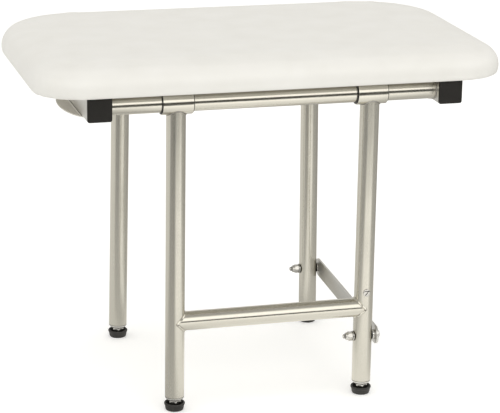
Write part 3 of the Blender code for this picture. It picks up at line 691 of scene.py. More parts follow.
def swell(start):
    rest = [vertex.co.copy() for vertex in start.data.vertices]
    normals = [vertex.normal.copy() for vertex in start.data.vertices]
    held = start.vertex_groups.new(name="rests_on_board")
    held.add([i for i, point in enumerate(rest) if point.z < PAD_LOW.z + 0.004], 1.0, "REPLACE")
    cloth = start.modifiers.new("cover", "CLOTH")
    cloth.settings.use_pressure = True
    cloth.settings.uniform_pressure_force = PRESSURE
    cloth.settings.effector_weights.gravity = 0.0
    cloth.settings.vertex_group_mass = held.name
    cloth.settings.tension_stiffness = COVER_STIFFNESS
    cloth.settings.compression_stiffness = COVER_STIFFNESS
    cloth.settings.bending_stiffness = COVER_BENDING
    cloth.point_cache.frame_end = PRESSURE_STEPS
    scene = bpy.context.scene
    for step in range(1, PRESSURE_STEPS + 1):
        scene.frame_set(step)
    graph = bpy.context.evaluated_depsgraph_get()
    mesh = bpy.data.meshes.new_from_object(start.evaluated_get(graph))
    start.modifiers.clear()
    scene.frame_set(1)
    for vertex, before, outward in zip(mesh.vertices, rest, normals):
        rise = max(0.0, (vertex.co - before).dot(outward))
        limit = SIDE_LIMIT + (CROWN_LIMIT - SIDE_LIMIT) * max(0.0, outward.z) ** 2
        vertex.co = before + outward * min(rise, limit)
    start.data = mesh


# %% [markdown]
# Below the cushion, the board sits flush in the foam. The points over the board are lifted a
# little, so that the board's own face shows there. A light smoothing takes out the steps that
# the cubes left, and one subdivision makes the roll fine enough to catch a clean highlight.

# %% Make the cushion
COVER_LIFT = 0.003
BOARD_OVERLAP = 0.006
BOARD_CORNER = 0.060
BOARD_CORNER_REACH = 0.085


def over_board(point):
    """True where the board shows. Its round corners are left to the cover."""
    past_x = abs(point.x) - (BOARD_HIGH.x - BOARD_OVERLAP)
    past_y = abs(point.y) - (BOARD_HIGH.y - BOARD_OVERLAP)
    corner = max(0.0, past_x + BOARD_CORNER) + max(0.0, past_y + BOARD_CORNER)
    return past_x < 0.0 and past_y < 0.0 and corner < BOARD_CORNER_REACH


def finish_cushion(start):
    smooth = start.modifiers.new("smooth", "SMOOTH")
    smooth.factor = 0.5
    smooth.iterations = 6
    fine = start.modifiers.new("fine", "SUBSURF")
    fine.levels = 1
    fine.render_levels = 1
    mesh = applied(start)
    lifted = PAD_LOW.z + COVER_LIFT
    for vertex in mesh.vertices:
        point = vertex.co
        point.z = max(point.z, PAD_LOW.z - PAD_LIP)
        if point.z < lifted and over_board(point):
            point.z = lifted
    return mesh


def make_cushion():
    start = add_object("cushion_start", to_mesh("cushion_start", pad_skin()))
    even_mesh(start)
    swell(start)
    mesh = finish_cushion(start)
    bpy.data.objects.remove(start)
    return finish_mesh("cushion", mesh, white_vinyl, "seat", ("seat_pad",), 180.0)


cushion = make_cushion()
heights = [vertex.co.z for vertex in cushion.data.vertices]
print("cushion points:", len(heights), "top, mm:", round(1000 * max(heights), 1))

# %% [markdown]
# ## The square arms
# Two lengths of square tube run from front to back under the cushion. Square tube has small
# round corners from the rolls that form it, and a bright line of light runs down each one. The
# tube is a loft of four rings: out along the outside, and back along the inside.

# %% Arms
ARM_WALL = 0.0020
ARM_CORNER = 0.0030
ARM_BORE = ARM_SIDE - 2 * ARM_WALL


def square_ring(side, corner, height):
    return rounded_ring(side, side, (corner,) * 4, height, 5)


def make_arm(side):
    node = f"{side}_arm"
    low, high, centre = box(node)
    length = high.y - low.y
    rings = [
        square_ring(ARM_SIDE, ARM_CORNER, 0.0),
        square_ring(ARM_SIDE, ARM_CORNER, length),
        square_ring(ARM_BORE, ARM_CORNER - ARM_WALL, length),
        square_ring(ARM_BORE, ARM_CORNER - ARM_WALL, 0.0),
    ]
    place = along_y(centre.x, low.y, centre.z)
    finish_piece(f"{node}_tube", loft(rings, True), steel_lengthwise, "seat", (node,), place)


for side in SIDES:
    make_arm(side)
print("arm side, mm:", round(1000 * ARM_SIDE, 2))

# %% [markdown]
# ## The end caps
# A moulded black cap closes each end of an arm. Its face is a plate as wide as the tube, with a
# rounded rim and a faint dome, and a plug with two thin ribs grips the inside of the tube.

# %% End caps
GAP = 0.0003
CAP_EDGE = 0.0013
CAP_DOME = 0.0002
PLUG = ARM_BORE - 2 * GAP
PLUG_CORNER = 0.0009
RIBS = (-0.0080, -0.0040)


def make_cap(side, end, direction):
    node = f"{side}_arm_{end}_cap"
    low, high, centre = box(node)
    face_y = high.y if direction > 0 else low.y
    tube_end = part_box(f"{side}_arm")[1 if direction > 0 else 0].y
    plate = abs(face_y - tube_end) - GAP
    rings = [square_ring(PLUG - 0.002, 0.0008, -0.0118), square_ring(PLUG, PLUG_CORNER, -0.0105)]
    for rib in RIBS:
        rings.append(square_ring(PLUG - 0.001, PLUG_CORNER, rib - 0.001))
        rings.append(square_ring(PLUG, PLUG_CORNER, rib))
    rings.append(square_ring(PLUG, PLUG_CORNER, 0.0))
    rings.append(square_ring(ARM_SIDE - 0.0004, ARM_CORNER, 0.0))
    rings.append(square_ring(ARM_SIDE, ARM_CORNER, GAP))
    for cosine, sine in right_angle(4):
        inset = CAP_EDGE * (1 - cosine)
        height = plate - CAP_EDGE - CAP_DOME + CAP_EDGE * sine
        rings.append(square_ring(ARM_SIDE - 2 * inset, ARM_CORNER - inset, height))
    rings.append(square_ring(ARM_SIDE * 0.45, 0.0014, plate - CAP_DOME / 4))
    place = along_y(centre.x, tube_end + direction * GAP, centre.z, direction)
    finish_piece(f"{node}_moulding", loft(rings), black_plastic, "seat", (node,), place)


for side in SIDES:
    make_cap(side, "front", -1)
    make_cap(side, "rear", 1)
print("caps made: 4")

# %% [markdown]
# ## Round tubes
# The cross tubes, the sleeves that turn on them and the low cross bar are all lengths of round
# tube. A saw leaves a square end that is then deburred, so the edge has a very small round.

# %% Cross tubes and sleeves
TUBE_WALL = 0.0015
TUBE_BORE = TUBE_RADIUS - TUBE_WALL
TUBE_STEPS = 64
DEBURR = 0.0003


def make_round_tube(name, node, radius, body):
    low, high, centre = box(node)
    bore = radius - TUBE_WALL
    profile = [(radius, low.x), (radius, high.x), (bore, high.x), (bore, low.x)]
    skin = turn(profile, DEBURR, TUBE_STEPS, True)
    place = along_x(0.0, centre.y, centre.z)
    finish_piece(name, skin, steel_sideways, body, (node,), place)


for end in PIVOTS:
    make_round_tube(f"{end}_cross_tube", f"{end}_pivot_tube", TUBE_RADIUS, "seat")
make_round_tube("rear_leg_sleeve", "rear_sleeve", SLEEVE_RADIUS, "rear_legs")
for side in SIDES:
    node = f"front_{side}_sleeve"
    make_round_tube(f"front_{side}_leg_sleeve", node, SLEEVE_RADIUS, "front_legs")
print("sleeve radius, mm:", round(1000 * SLEEVE_RADIUS, 2))

# %% [markdown]
# ## Legs with a fish mouth
# A tube that meets another tube is coped: its end is cut to the other tube's curve, like a
# fish's mouth, so that the weld has no gap to fill. A boolean cut would do it. But the curve is
# simple: at each point round the leg, it is as high as the sleeve's surface there. So we put
# the last ring's points at that height, and the mesh stays clean.


# %% Legs
def leg_line(end, side):
    """The leg's length up to the sleeve's axis, its lower end, and how to lay a piece along it."""
    low, high, centre = box(f"{end}_{side}_leg")
    lean_out = SIDES[side] * max(0.0, (high.x - low.x) / 2 - TUBE_RADIUS)
    bottom = Vector((centre.x + lean_out, PIVOTS[end].y, low.z))
    run = (PIVOTS[end].z - low.z) / (high.z - low.z)
    top = Vector((bottom.x - 2 * lean_out * run, PIVOTS[end].y, PIVOTS[end].z))
    way = top - bottom
    place = Matrix.Translation(bottom) @ way.to_track_quat("Z", "Y").to_matrix().to_4x4()
    return way.length, bottom, place


def coped_ring(radius, axis_z, cope_radius, steps=TUBE_STEPS):
    """A ring round the leg that ends on the curve of the tube that crosses it."""
    ring = circle(radius, 0.0, steps)
    for point in ring:
        point.z = axis_z - math.sqrt(max(0.0, cope_radius**2 - point.y**2))
    return ring


def make_leg(end, side):
    length, _, place = leg_line(end, side)
    rings = [
        circle(TUBE_BORE, DEBURR, TUBE_STEPS),
        circle(TUBE_BORE + DEBURR, 0.0, TUBE_STEPS),
        circle(TUBE_RADIUS - DEBURR, 0.0, TUBE_STEPS),
        circle(TUBE_RADIUS, DEBURR, TUBE_STEPS),
        coped_ring(TUBE_RADIUS, length, SLEEVE_RADIUS),
        coped_ring(TUBE_BORE, length, SLEEVE_RADIUS),
    ]
    node, name = f"{end}_{side}_leg", f"{end}_{side}_leg_tube"
    finish_piece(name, loft(rings, True), steel_upright, f"{end}_legs", (node,), place)


for end in PIVOTS:
    for side in SIDES:
        make_leg(end, side)
print("leg length, mm:", round(1000 * leg_line("front", "left")[0]))

# %% [markdown]
# The low cross bar makes an H with the front legs. It is as thick as they are, so both of its
# ends are coped to half circles.

# %% Cross bar
BAR = box("front_cross_bar")[2]
LEG_X = box("front_right_leg")[2].x


def bar_end_ring(radius, sign, steps=TUBE_STEPS):
    """A ring round the bar that ends on the surface of the leg on that side."""
    ring = []
    for up, y, _ in circle(radius, 0.0, steps):
        reach = LEG_X - math.sqrt(max(0.0, TUBE_RADIUS**2 - y**2))
        ring.append(Vector((sign * reach, y, up)))
    return ring


def make_cross_bar():
    ends = ((TUBE_RADIUS, -1), (TUBE_RADIUS, 1), (TUBE_BORE, 1), (TUBE_BORE, -1))
    skin = loft([bar_end_ring(radius, sign) for radius, sign in ends], True)
    place = at(0.0, BAR.y, BAR.z)
    finish_piece("low_cross_bar", skin, steel_sideways, "front_legs", ("front_cross_bar",), place)


make_cross_bar()
print("cross bar height, mm:", round(1000 * BAR.z, 1))

# %% [markdown]
# ## Weld beads
# The welds are thin beads with ripples like a pile of coins, one for each time the welder
# dipped the rod. A bead is a small circle carried along the joint's curve, and the circle
# swells and shrinks as it goes. The curve of a leg's weld is the coped edge that we already
# have. The cross bar's welds are ground almost smooth.

# %% Sweep a bead along a path
BEAD_RADIUS = 0.0010
BAR_BEAD_RADIUS = 0.0017
BEAD_STEPS = 240
RIPPLE_PITCH = 0.0013


def bead(path, closed, radius=BEAD_RADIUS, ripple=0.22):
    count = len(path)
    rings = []
    length = 0.0
    for i, point in enumerate(path):
        ahead = path[(i + 1) % count] if closed or i + 1 < count else point
        behind = path[i - 1] if closed or i > 0 else point
        length += (point - path[i - 1]).length if i > 0 else 0.0
        way = (ahead - behind).normalized()
        side = way.orthogonal() if abs(way.x) > 0.9 else way.cross(Vector((1.0, 0.0, 0.0)))
        side.normalize()
        up = way.cross(side)
        phase = (length / RIPPLE_PITCH) % 1.0
        thick = radius * (1.0 - ripple + ripple * math.sin(math.pi * phase))
        if not closed:
            thick *= min(1.0, 0.45 + 0.2 * min(i, count - 1 - i))
        rings.append([point + side * x + up * y for x, y, _ in circle(thick, 0.0, 8)])
    return loft(rings, closed)


print("one ripple, mm:", 1000 * RIPPLE_PITCH)

# %% [markdown]
# The legs are welded to their sleeves, the cross bar to the front legs, and the cross tubes to the
# arms.


# %% Lay the welds
def leg_weld(end, side):
    length, _, place = leg_line(end, side)
    skin = bead(coped_ring(TUBE_RADIUS, length, SLEEVE_RADIUS, BEAD_STEPS), True)
    finish_piece(f"{end}_{side}_leg_weld", skin, weld_steel, f"{end}_legs", (), place)


def bar_weld(side):
    path = bar_end_ring(TUBE_RADIUS, SIDES[side], BEAD_STEPS)
    skin = bead(path, True, BAR_BEAD_RADIUS, 0.03)
    place = at(0.0, BAR.y, BAR.z)
    finish_piece(f"cross_bar_{side}_weld", skin, steel_sideways, "front_legs", (), place)


def arm_weld(end, side):
    low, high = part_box(f"{end}_pivot_tube")
    x = low.x if side == "left" else high.x
    skin = bead(circle(TUBE_RADIUS, 0.0, BEAD_STEPS), True)
    place = along_x(x, PIVOTS[end].y, PIVOTS[end].z)
    finish_piece(f"{end}_{side}_arm_weld", skin, weld_steel, "seat", (), place)


for side in SIDES:
    bar_weld(side)
    for end in PIVOTS:
        leg_weld(end, side)
        arm_weld(end, side)
print("weld beads made: 10")

# %% [markdown]
# ## Nylon bushes
# Steel on steel would squeal, so each sleeve runs on nylon bushes. Only the flange shows: a
# dark ring, half a millimetre thick, at the sleeve's end.


# %% Bushes
FLANGE = 0.0005
BUSH_PLUG = SLEEVE_RADIUS - TUBE_WALL - GAP


def make_bush(node, body):
    low, high, centre = box(node)
    outward = 1 if abs(high.x) > abs(low.x) else -1
    if "inner" in node:
        outward = -outward
    outer_x = high.x if outward > 0 else low.x
    depth = low.x - high.x
    wide = (high.z - low.z) / 2
    bore = TUBE_RADIUS + GAP
    profile = [(bore, 0.0), (wide, 0.0), (wide, -FLANGE)]
    profile += [(BUSH_PLUG, -FLANGE), (BUSH_PLUG, depth), (bore, depth)]
    skin = turn(profile, 0.0006, 48, True)
    place = along_x(outer_x, centre.y, centre.z, outward)
    finish_piece(f"{node}_ring", skin, black_nylon, body, (node,), place)


for side in SIDES:
    make_bush(f"front_{side}_outer_bush", "front_legs")
    make_bush(f"front_{side}_inner_bush", "front_legs")
    make_bush(f"rear_{side}_bush", "rear_legs")
print("bushes made: 6")

# %% [markdown]
# ## Levelling feet
# Floors in wet rooms slope towards the drain, so each leg has a screw foot. It has three parts:
# a steel plug in the leg's end, a threaded stud with a hexagon for a spanner, and a black
# rubber cup.
#
# The thread is a real helix. Round the stud, the surface moves in and out once for each turn,
# and the place where it does climbs by one pitch a turn, which one formula of angle and height
# describes.


# %% Threads and hexagons
def threaded(radius, pitch, bottom, top, steps=20):
    depth = 0.6 * pitch
    rows = int((top - bottom) / pitch * 6)
    rings = [[Vector((0.0, 0.0, bottom))]]
    for row in range(rows + 1):
        height = bottom + (top - bottom) * row / rows
        near_end = min(1.0, (top - height) / pitch, (height - bottom) / pitch + 0.2)
        ring = circle(1.0, height, steps)
        for i, point in enumerate(ring):
            phase = (height / pitch - i / steps) % 1.0
            groove = depth * max(0.0, 1.0 - 3.0 * abs(phase - 0.5))
            point.xy *= radius - groove * near_end - 0.5 * depth * (1.0 - near_end)
        rings.append(ring)
    rings.append([Vector((0.0, 0.0, top))])
    return loft(rings)


def hexagon_rings(flats, bottom, top, chamfer, steps=48):
    """A hexagon whose corners are turned away at both ends, as on any bought nut."""
    inner = flats / 2
    reach = inner / math.cos(math.radians(30.0))
    half = (inner + reach) / 2
    rows = [(bottom, inner * 0.97), (bottom + chamfer / 2, half), (bottom + chamfer, reach)]
    rows += [(top - chamfer, reach), (top - chamfer / 2, half), (top, inner * 0.97)]
    rings = []
    for height, limit in rows:
        ring = circle(1.0, height, steps)
        for i, point in enumerate(ring):
            turned = 2 * math.pi * i / steps + math.radians(30.0)
            from_flat = turned % math.radians(60.0) - math.radians(30.0)
            point.xy *= min(inner / math.cos(from_flat), limit)
        rings.append(ring)
    return rings


# %% [markdown]
# The plug's lower edge is rounded like a pebble, so that the leg doesn't cut a bath mat when it
# tips.

# %% Leg plugs
STUD_RADIUS = 0.0040
THREAD_PITCH = 0.00125
PLUG_LENGTH = 0.020
PLUG_RIM = 0.0009


def make_plug(end, side):
    node = f"{end}_{side}_leg_insert"
    _, bottom, place = leg_line(end, side)
    lip = bottom.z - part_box(node)[0].z
    bore, plug = STUD_RADIUS + GAP, TUBE_BORE - GAP
    profile = [(bore, PLUG_LENGTH), (plug, PLUG_LENGTH), (plug, -GAP)]
    profile += [(TUBE_RADIUS, -GAP), (TUBE_RADIUS, -PLUG_RIM)]
    for cosine, sine in right_angle(6, 1):
        profile.append((TUBE_RADIUS - lip * (1 - cosine), -PLUG_RIM - (lip - PLUG_RIM) * sine))
    profile.append((bore, -lip))
    skin = turn(profile, 0.0002, 48, True)
    finish_piece(f"{end}_{side}_leg_plug", skin, fastener_steel, f"{end}_legs", (node,), place)


for end in PIVOTS:
    for side in SIDES:
        make_plug(end, side)
print("leg plugs made: 4")

# %% [markdown]
# The cup has a shallow recess round the hexagon and a soft rim, and its sole is a little smaller
# than its rim.

# %% Feet
CUP_SOLE = 0.0112
CUP_FLOOR = 0.0059
HEXAGON_LOW, HEXAGON_HIGH, HEXAGON_CHAMFER = 0.0062, 0.0142, 0.0011
THREAD_START = 0.0135
THREAD_EDGE_ANGLE = 25.0


def make_cup(node, body):
    low, high, centre = box(node)
    rim, height = (high.x - low.x) / 2, high.z
    profile = [
        (0.0, CUP_FLOOR),
        (CUP_SOLE - 0.0006, CUP_FLOOR),
        (CUP_SOLE, height - 0.0008),
        (rim - 0.0008, height),
        (rim, height - 0.0012),
        (rim - 0.0002, height - 0.0030),
        (rim - 0.0010, height - 0.0036),
        (CUP_SOLE + 0.0008, 0.0012),
        (CUP_SOLE, 0.0),
        (0.0, 0.0),
    ]
    place = at(centre.x, centre.y, 0.0)
    finish_piece(f"{node}_cup", turn(profile, 0.0007), black_rubber, body, (node,), place)
    return place


def make_foot(end, side):
    foot, body = f"{end}_{side}_foot", f"{end}_{side}_foot_unit"
    stud = f"{foot}_stud"
    place = make_cup(foot, body)
    skin = loft(hexagon_rings(size(stud).y, HEXAGON_LOW, HEXAGON_HIGH, HEXAGON_CHAMFER))
    finish_piece(f"{foot}_hexagon", skin, fastener_steel, body, (), place)
    skin = threaded(STUD_RADIUS, THREAD_PITCH, THREAD_START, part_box(stud)[1].z)
    finish_piece(f"{stud}_thread", skin, fastener_steel, body, (stud,), place, THREAD_EDGE_ANGLE)


for end in PIVOTS:
    for side in SIDES:
        make_foot(end, side)
print("feet made: 4")

# %% [markdown]
# ## The link bar and its bolts
# A flat bar joins the two right-hand legs, so that both pairs swing together. It is cut from
# strip with round ends and a hole in each. A filled curve with a small bevel gives exactly
# that: the outline and the holes are drawn once, and the bevel rounds every edge that the
# deburring wheel would reach.

# %% Link bar
BAR_LOW, BAR_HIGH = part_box("link_bar")
BOLT_FRONT = box("front_link_bolt")[2]
BOLT_REAR = box("rear_link_bolt")[2]
LINK_WIDTH = BAR_HIGH.z - BAR_LOW.z
LINK_THICKNESS = 0.003
LINK_HOLE = 0.0034


def flat_piece(name, loops, thickness, edge):
    """A flat piece from closed loops of (x, y) points, its edges rounded."""
    curve = bpy.data.curves.new(name, "CURVE")
    curve.dimensions = "2D"
    curve.fill_mode = "BOTH"
    curve.extrude = thickness / 2 - edge
    curve.bevel_depth = edge
    curve.bevel_resolution = 2
    curve.offset = -edge
    for points in loops:
        spline = curve.splines.new("POLY")
        spline.points.add(len(points) - 1)
        for corner, (x, y) in zip(spline.points, points):
            corner.co = (x, y, 0.0, 1.0)
        spline.use_cyclic_u = True
    drawing = add_object(name, curve)
    skin = bmesh.new()
    skin.from_mesh(applied(drawing))
    bpy.data.objects.remove(drawing)
    bmesh.ops.remove_doubles(skin, verts=skin.verts, dist=0.00001)
    bmesh.ops.recalc_face_normals(skin, faces=skin.faces)
    return skin


print("link bar width, mm:", round(1000 * LINK_WIDTH, 1))

# %% [markdown]
# The bar's rear end stands farther out than its front end, because the rear legs are set wider, so
# the strip is turned a little to reach both.


# %% Lay the link bar
def arc(y, radius, start, end, steps=20):
    turns = [math.radians(start + (end - start) * i / steps) for i in range(steps + 1)]
    return [(radius * math.cos(a), y + radius * math.sin(a)) for a in turns]


def make_link_bar():
    run = BOLT_REAR.y - BOLT_FRONT.y
    sideways = (BAR_HIGH.x - BAR_LOW.x) - LINK_THICKNESS
    length = math.hypot(run, sideways)
    radius = LINK_WIDTH / 2
    outside = arc(0.0, radius, 180.0, 360.0) + arc(length, radius, 0.0, 180.0)
    holes = [arc(y, LINK_HOLE, 0.0, 360.0)[:-1] for y in (0.0, length)]
    skin = flat_piece("link_outline", [outside, *holes], LINK_THICKNESS, 0.0005)
    flat = Matrix.Rotation(math.pi / 2, 4, "Y")
    skew = Matrix.Rotation(-math.asin(sideways / length), 4, "Z")
    place = at(BAR_LOW.x + LINK_THICKNESS / 2, BOLT_FRONT.y, BOLT_FRONT.z) @ skew @ flat
    finish_piece("link_strip", skin, steel_lengthwise, "link", ("link_bar",), place)


make_link_bar()
print("link bar made, from", round(BOLT_FRONT.y, 3), "to", round(BOLT_REAR.y, 3))

# %% [markdown]
# Each end of the bar has a bolt with a low round head outside, a spacer between bar and leg,
# and a domed lock nut on a washer inside the leg, with a little of the bolt's thread past it.

# %% Link bolts
BOLT_RADIUS = 0.0030
BOLT_PITCH = 0.0010
BOLT_HEAD = 0.0030
HEAD_RIM = 0.0005
SHANK_STUB = 0.004
BOLT_HOLE = BOLT_RADIUS + GAP


def domed_head(radius, height, shank, steps=6):
    """Profile of a round head whose seat is at zero, with the start of its shank."""
    points = [(0.0, SHANK_STUB), (shank, SHANK_STUB), (shank, 0.0), (radius, 0.0)]
    for cosine, sine in right_angle(steps)[:-1]:
        points.append((radius * cosine, -HEAD_RIM - (height - HEAD_RIM) * sine))
    return points + [(0.0, -height)]


def make_ring(name, wide, length, body, stands_for, place):
    """A plain washer or spacer on a bolt."""
    profile = [(BOLT_HOLE, 0.0), (wide, 0.0), (wide, length), (BOLT_HOLE, length)]
    finish_piece(name, turn(profile, 0.0003, 40, True), fastener_steel, body, stands_for, place)


def make_link_bolt(end):
    body, node = f"{end}_legs", f"{end}_link_bolt"
    low, high, centre = box(node)
    seat = high.x - BOLT_HEAD
    skin = turn(domed_head((high.z - low.z) / 2, BOLT_HEAD, BOLT_RADIUS), 0.0002, 32)
    place = along_x(seat, centre.y, centre.z, -1)
    finish_piece(f"{node}_head", skin, fastener_steel, body, (node,), place)
    shank = threaded(BOLT_RADIUS, BOLT_PITCH, 0.0, seat - low.x, 16)
    place = along_x(low.x, centre.y, centre.z)
    finish_piece(f"{node}_thread", shank, fastener_steel, body, (), place, THREAD_EDGE_ANGLE)
    node = f"{end}_link_spacer"
    low, high, centre = box(node)
    place = along_x(low.x, centre.y, centre.z)
    make_ring(f"{node}_ring", (high.z - low.z) / 2, high.x - low.x, body, (node,), place)


for end in PIVOTS:
    make_link_bolt(end)
print("link bolts made: 2")

# %% [markdown]
# The nut's dome is drawn as a crown of circles that close in towards the bolt's tip.

# %% Link nuts
WASHER_RADIUS, WASHER_THICKNESS = 0.0068, 0.0014
NUT_FLATS, NUT_CHAMFER, NUT_DOME = 0.0110, 0.0009, 0.0035
NUT_TIP, NUT_MOUTH = 0.0034, 0.0032


def make_link_nut(end):
    body, node = f"{end}_legs", f"{end}_link_nut"
    low, high, centre = box(node)
    place = along_x(high.x, centre.y, centre.z, -1)
    make_ring(f"{end}_link_washer", WASHER_RADIUS, WASHER_THICKNESS, body, (), place)
    depth = high.x - low.x
    shoulder = depth - NUT_DOME
    crown = NUT_FLATS / 2 * 0.96 - NUT_TIP
    rings = hexagon_rings(NUT_FLATS, WASHER_THICKNESS, shoulder, NUT_CHAMFER)
    for cosine, sine in right_angle(6, 1):
        radius = NUT_TIP + crown * max(0.0, cosine) ** 0.45
        rings.append(circle(radius, shoulder + 0.92 * NUT_DOME * sine, 48))
    rings.append(circle(NUT_TIP, depth, 48))
    rings.append(circle(NUT_MOUTH, depth, 48))
    rings.append(circle(NUT_MOUTH, depth - 0.0010, 48))
    finish_piece(f"{node}_crown", loft(rings), fastener_steel, body, (node,), place)


for end in PIVOTS:
    make_link_nut(end)
print("link nuts made: 2")

# %% [markdown]
# ## The slotted screw
# One round-headed screw sits in the front right leg, above the cross bar. The slot is a real
# cut, made with a boolean and a thin block, because a slot painted on would vanish in a
# slanting light.


# %% Slotted screw
SCREW_SHANK = 0.0020
SCREW_SEAT, SCREW_RISE = 0.0024, 0.0017
SLOT_SIZE = (0.0013, 0.0200, 0.0026)
SLOT_TURN = math.radians(40.0)


def make_leg_screw():
    node = "front_right_leg_screw"
    low, high, centre = box(node)
    head = domed_head((high.x - low.x) / 2, SCREW_RISE, SCREW_SHANK, 8)
    screw = add_object("screw_start", to_mesh("screw_start", turn(head, 0.0002, 40)))
    block = bmesh.new()
    bmesh.ops.create_cube(block, size=1.0)
    bmesh.ops.scale(block, verts=block.verts, vec=SLOT_SIZE)
    block.transform(at(0.0, 0.0, -SCREW_RISE) @ Matrix.Rotation(SLOT_TURN, 4, "Z"))
    slot = add_object("slot_block", to_mesh("slot_block", block))
    cut = screw.modifiers.new("slot", "BOOLEAN")
    cut.operation = "DIFFERENCE"
    cut.solver = "EXACT"
    cut.object = slot
    mesh = applied(screw)
    for thing in (screw, slot):
        bpy.data.objects.remove(thing)
    mesh.transform(along_y(centre.x, low.y + SCREW_SEAT, centre.z))
    finish_mesh("leg_screw_head", mesh, fastener_steel, "front_legs", (node,))


make_leg_screw()
print("slotted screw made")

# %% [markdown]
# ## Plates and seat bolts
# An oval plate is welded under each arm and spreads the load of the bolts that hold the seat.
# The rear bolt goes straight through the arm.


# %% Plates
PLATE_EDGE = 0.0008
PLATE_BEAD_RADIUS = 0.0008
PLATE_WELD_INSET = 0.012


def make_plate(side):
    node = f"{side}_arm_plate"
    low, high, centre = box(node)
    half_x, half_y = (high.x - low.x) / 2, (high.y - low.y) / 2
    outside = [(half_x * x, half_y * y) for x, y, _ in circle(1.0, 0.0, 96)]
    skin = flat_piece("plate_outline", [outside], high.z - low.z, PLATE_EDGE)
    place = at(centre.x, centre.y, centre.z)
    finish_piece(f"{side}_oval_plate", skin, steel_plate, "seat", (node,), place)


def plate_weld(side, hand, edge):
    """A run of weld in the corner between the arm and its plate."""
    x = box(f"{side}_arm")[2].x + edge * ARM_SIDE / 2
    low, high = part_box(f"{side}_arm_plate")
    start, end = low.y + PLATE_WELD_INSET, high.y - PLATE_WELD_INSET
    count = int((end - start) / RIPPLE_PITCH * 4)
    path = [Vector((x, start + (end - start) * i / count, high.z)) for i in range(count + 1)]
    skin = bead(path, False, PLATE_BEAD_RADIUS, 0.08)
    finish_piece(f"{side}_plate_weld_{hand}", skin, steel_plate, "seat")


for side in SIDES:
    make_plate(side)
    for hand, edge in SIDES.items():
        plate_weld(side, hand, edge)
print("plates made: 2")

# %% [markdown]
# The seat bolts have the same low round heads as the link bolts, with a socket for a key,
# drawn round.


# %% Seat bolts
ROWS = ("front", "middle", "rear")
SEAT_BOLT_HEAD = 0.0032
SEAT_BOLT_RIM = 0.0006
KEY_RADIUS, KEY_DEPTH = 0.0020, 0.0016


def make_seat_bolt(row, side):
    node = f"seat_bolt_{row}_{side}"
    low, high, centre = box(node)
    radius, rise = (high.x - low.x) / 2, SEAT_BOLT_HEAD
    length = high.z - low.z - rise
    profile = [(0.0, length), (BOLT_RADIUS, length), (BOLT_RADIUS, 0.0), (radius, 0.0)]
    for cosine, sine in right_angle(6)[:-2]:
        profile.append((radius * cosine, -SEAT_BOLT_RIM - (rise - SEAT_BOLT_RIM) * sine))
    profile += [(KEY_RADIUS, -rise), (KEY_RADIUS, KEY_DEPTH - rise)]
    profile.append((0.0, KEY_DEPTH + 0.0002 - rise))
    place = at(centre.x, centre.y, low.z + rise)
    skin = turn(profile, 0.0002, 32)
    finish_piece(f"{node}_head", skin, fastener_steel, "seat", (node,), place)


for row in ROWS:
    for side in SIDES:
        make_seat_bolt(row, side)
print("seat bolts made: 6")

# %% [markdown]
# ## Frame pieces that stay
# The board and the tee nuts inside it already have the right shape in the frame, so they only
# change their finish.

# %% Finish the board and the tee nuts
kept = {"seat_board": board_finish}
for row in ROWS:
    for side in SIDES:
        kept[f"tee_nut_{row}_{side}"] = fastener_steel
for node, finish in kept.items():
    data = frame["nodes"][node].data
    data.materials.clear()
    data.materials.append(finish)
print("frame pieces refinished:", len(kept))

# %% [markdown]
# ## Floor, light and camera
# The stool stands on a plain pale floor in a white studio. Satin tube mirrors its room, so the
# room matters more than the steel. Three soft panels light the cushion. The lines on the tubes
# come from a floor and a world that only reflections see: bright and dim sectors on the floor,
# a bright window ahead and a dimmer wall behind.

# %% What the steel sees below it
ROOM_TINT = (1.0, 0.985, 0.945)
FLOOR_MIDDLE_Y = 0.12
FLOOR_SECTORS = (
    (0.0, 0.82),
    (0.15, 0.82),
    (0.20, 0.80),
    (0.29, 0.80),
    (0.32, 0.40),
    (0.43, 0.40),
    (0.475, 1.46),
    (0.585, 1.46),
    (0.63, 0.56),
    (0.82, 0.34),
    (1.0, 0.60),
)
BLACK = (0.0, 0.0, 0.0)


def grey_steps(tree, value, steps):
    """A ramp of grey levels, tinted like a warm room."""
    ramp = add_node(tree, "ShaderNodeValToRGB", {"Fac": value})
    stops = ramp.color_ramp.elements
    while len(stops) < len(steps):
        stops.new(0.5)
    for stop, (position, level) in zip(stops, steps):
        stop.position = position
        stop.color = (*(level * tint for tint in ROOM_TINT), 1.0)
    return ramp.outputs["Color"]


def mirrored_floor(tree):
    """What the steel sees below it: bright and dim sectors round the stool, dark far in front."""
    place = add_node(tree, "ShaderNodeNewGeometry").outputs["Position"]
    parts = add_node(tree, "ShaderNodeSeparateXYZ", {0: place})
    front = math_node(tree, "SUBTRACT", FLOOR_MIDDLE_Y, parts.outputs["Y"])
    angle = math_node(tree, "ARCTAN2", parts.outputs["X"], front)
    sector = spread(tree, angle, -math.pi, math.pi, 0.0, 1.0)
    sectors = grey_steps(tree, sector, FLOOR_SECTORS)
    reach = add_node(tree, "ShaderNodeVectorMath", {0: place}, operation="LENGTH").outputs["Value"]
    away = spread(tree, reach, 0.35, 0.95, 0.45, 1.0)
    patterned = blend_colours(tree, away, (0.68, 0.67, 0.635), sectors)
    far = spread(tree, front, 1.40, 1.62, 0.0, 1.0)
    return blend_colours(tree, far, patterned, (0.10, 0.10, 0.09))


print("sectors on the floor:", len(FLOOR_SECTORS))

# %% [markdown]
# The floor is a plain matt surface. A little glow keeps it pale to the camera.


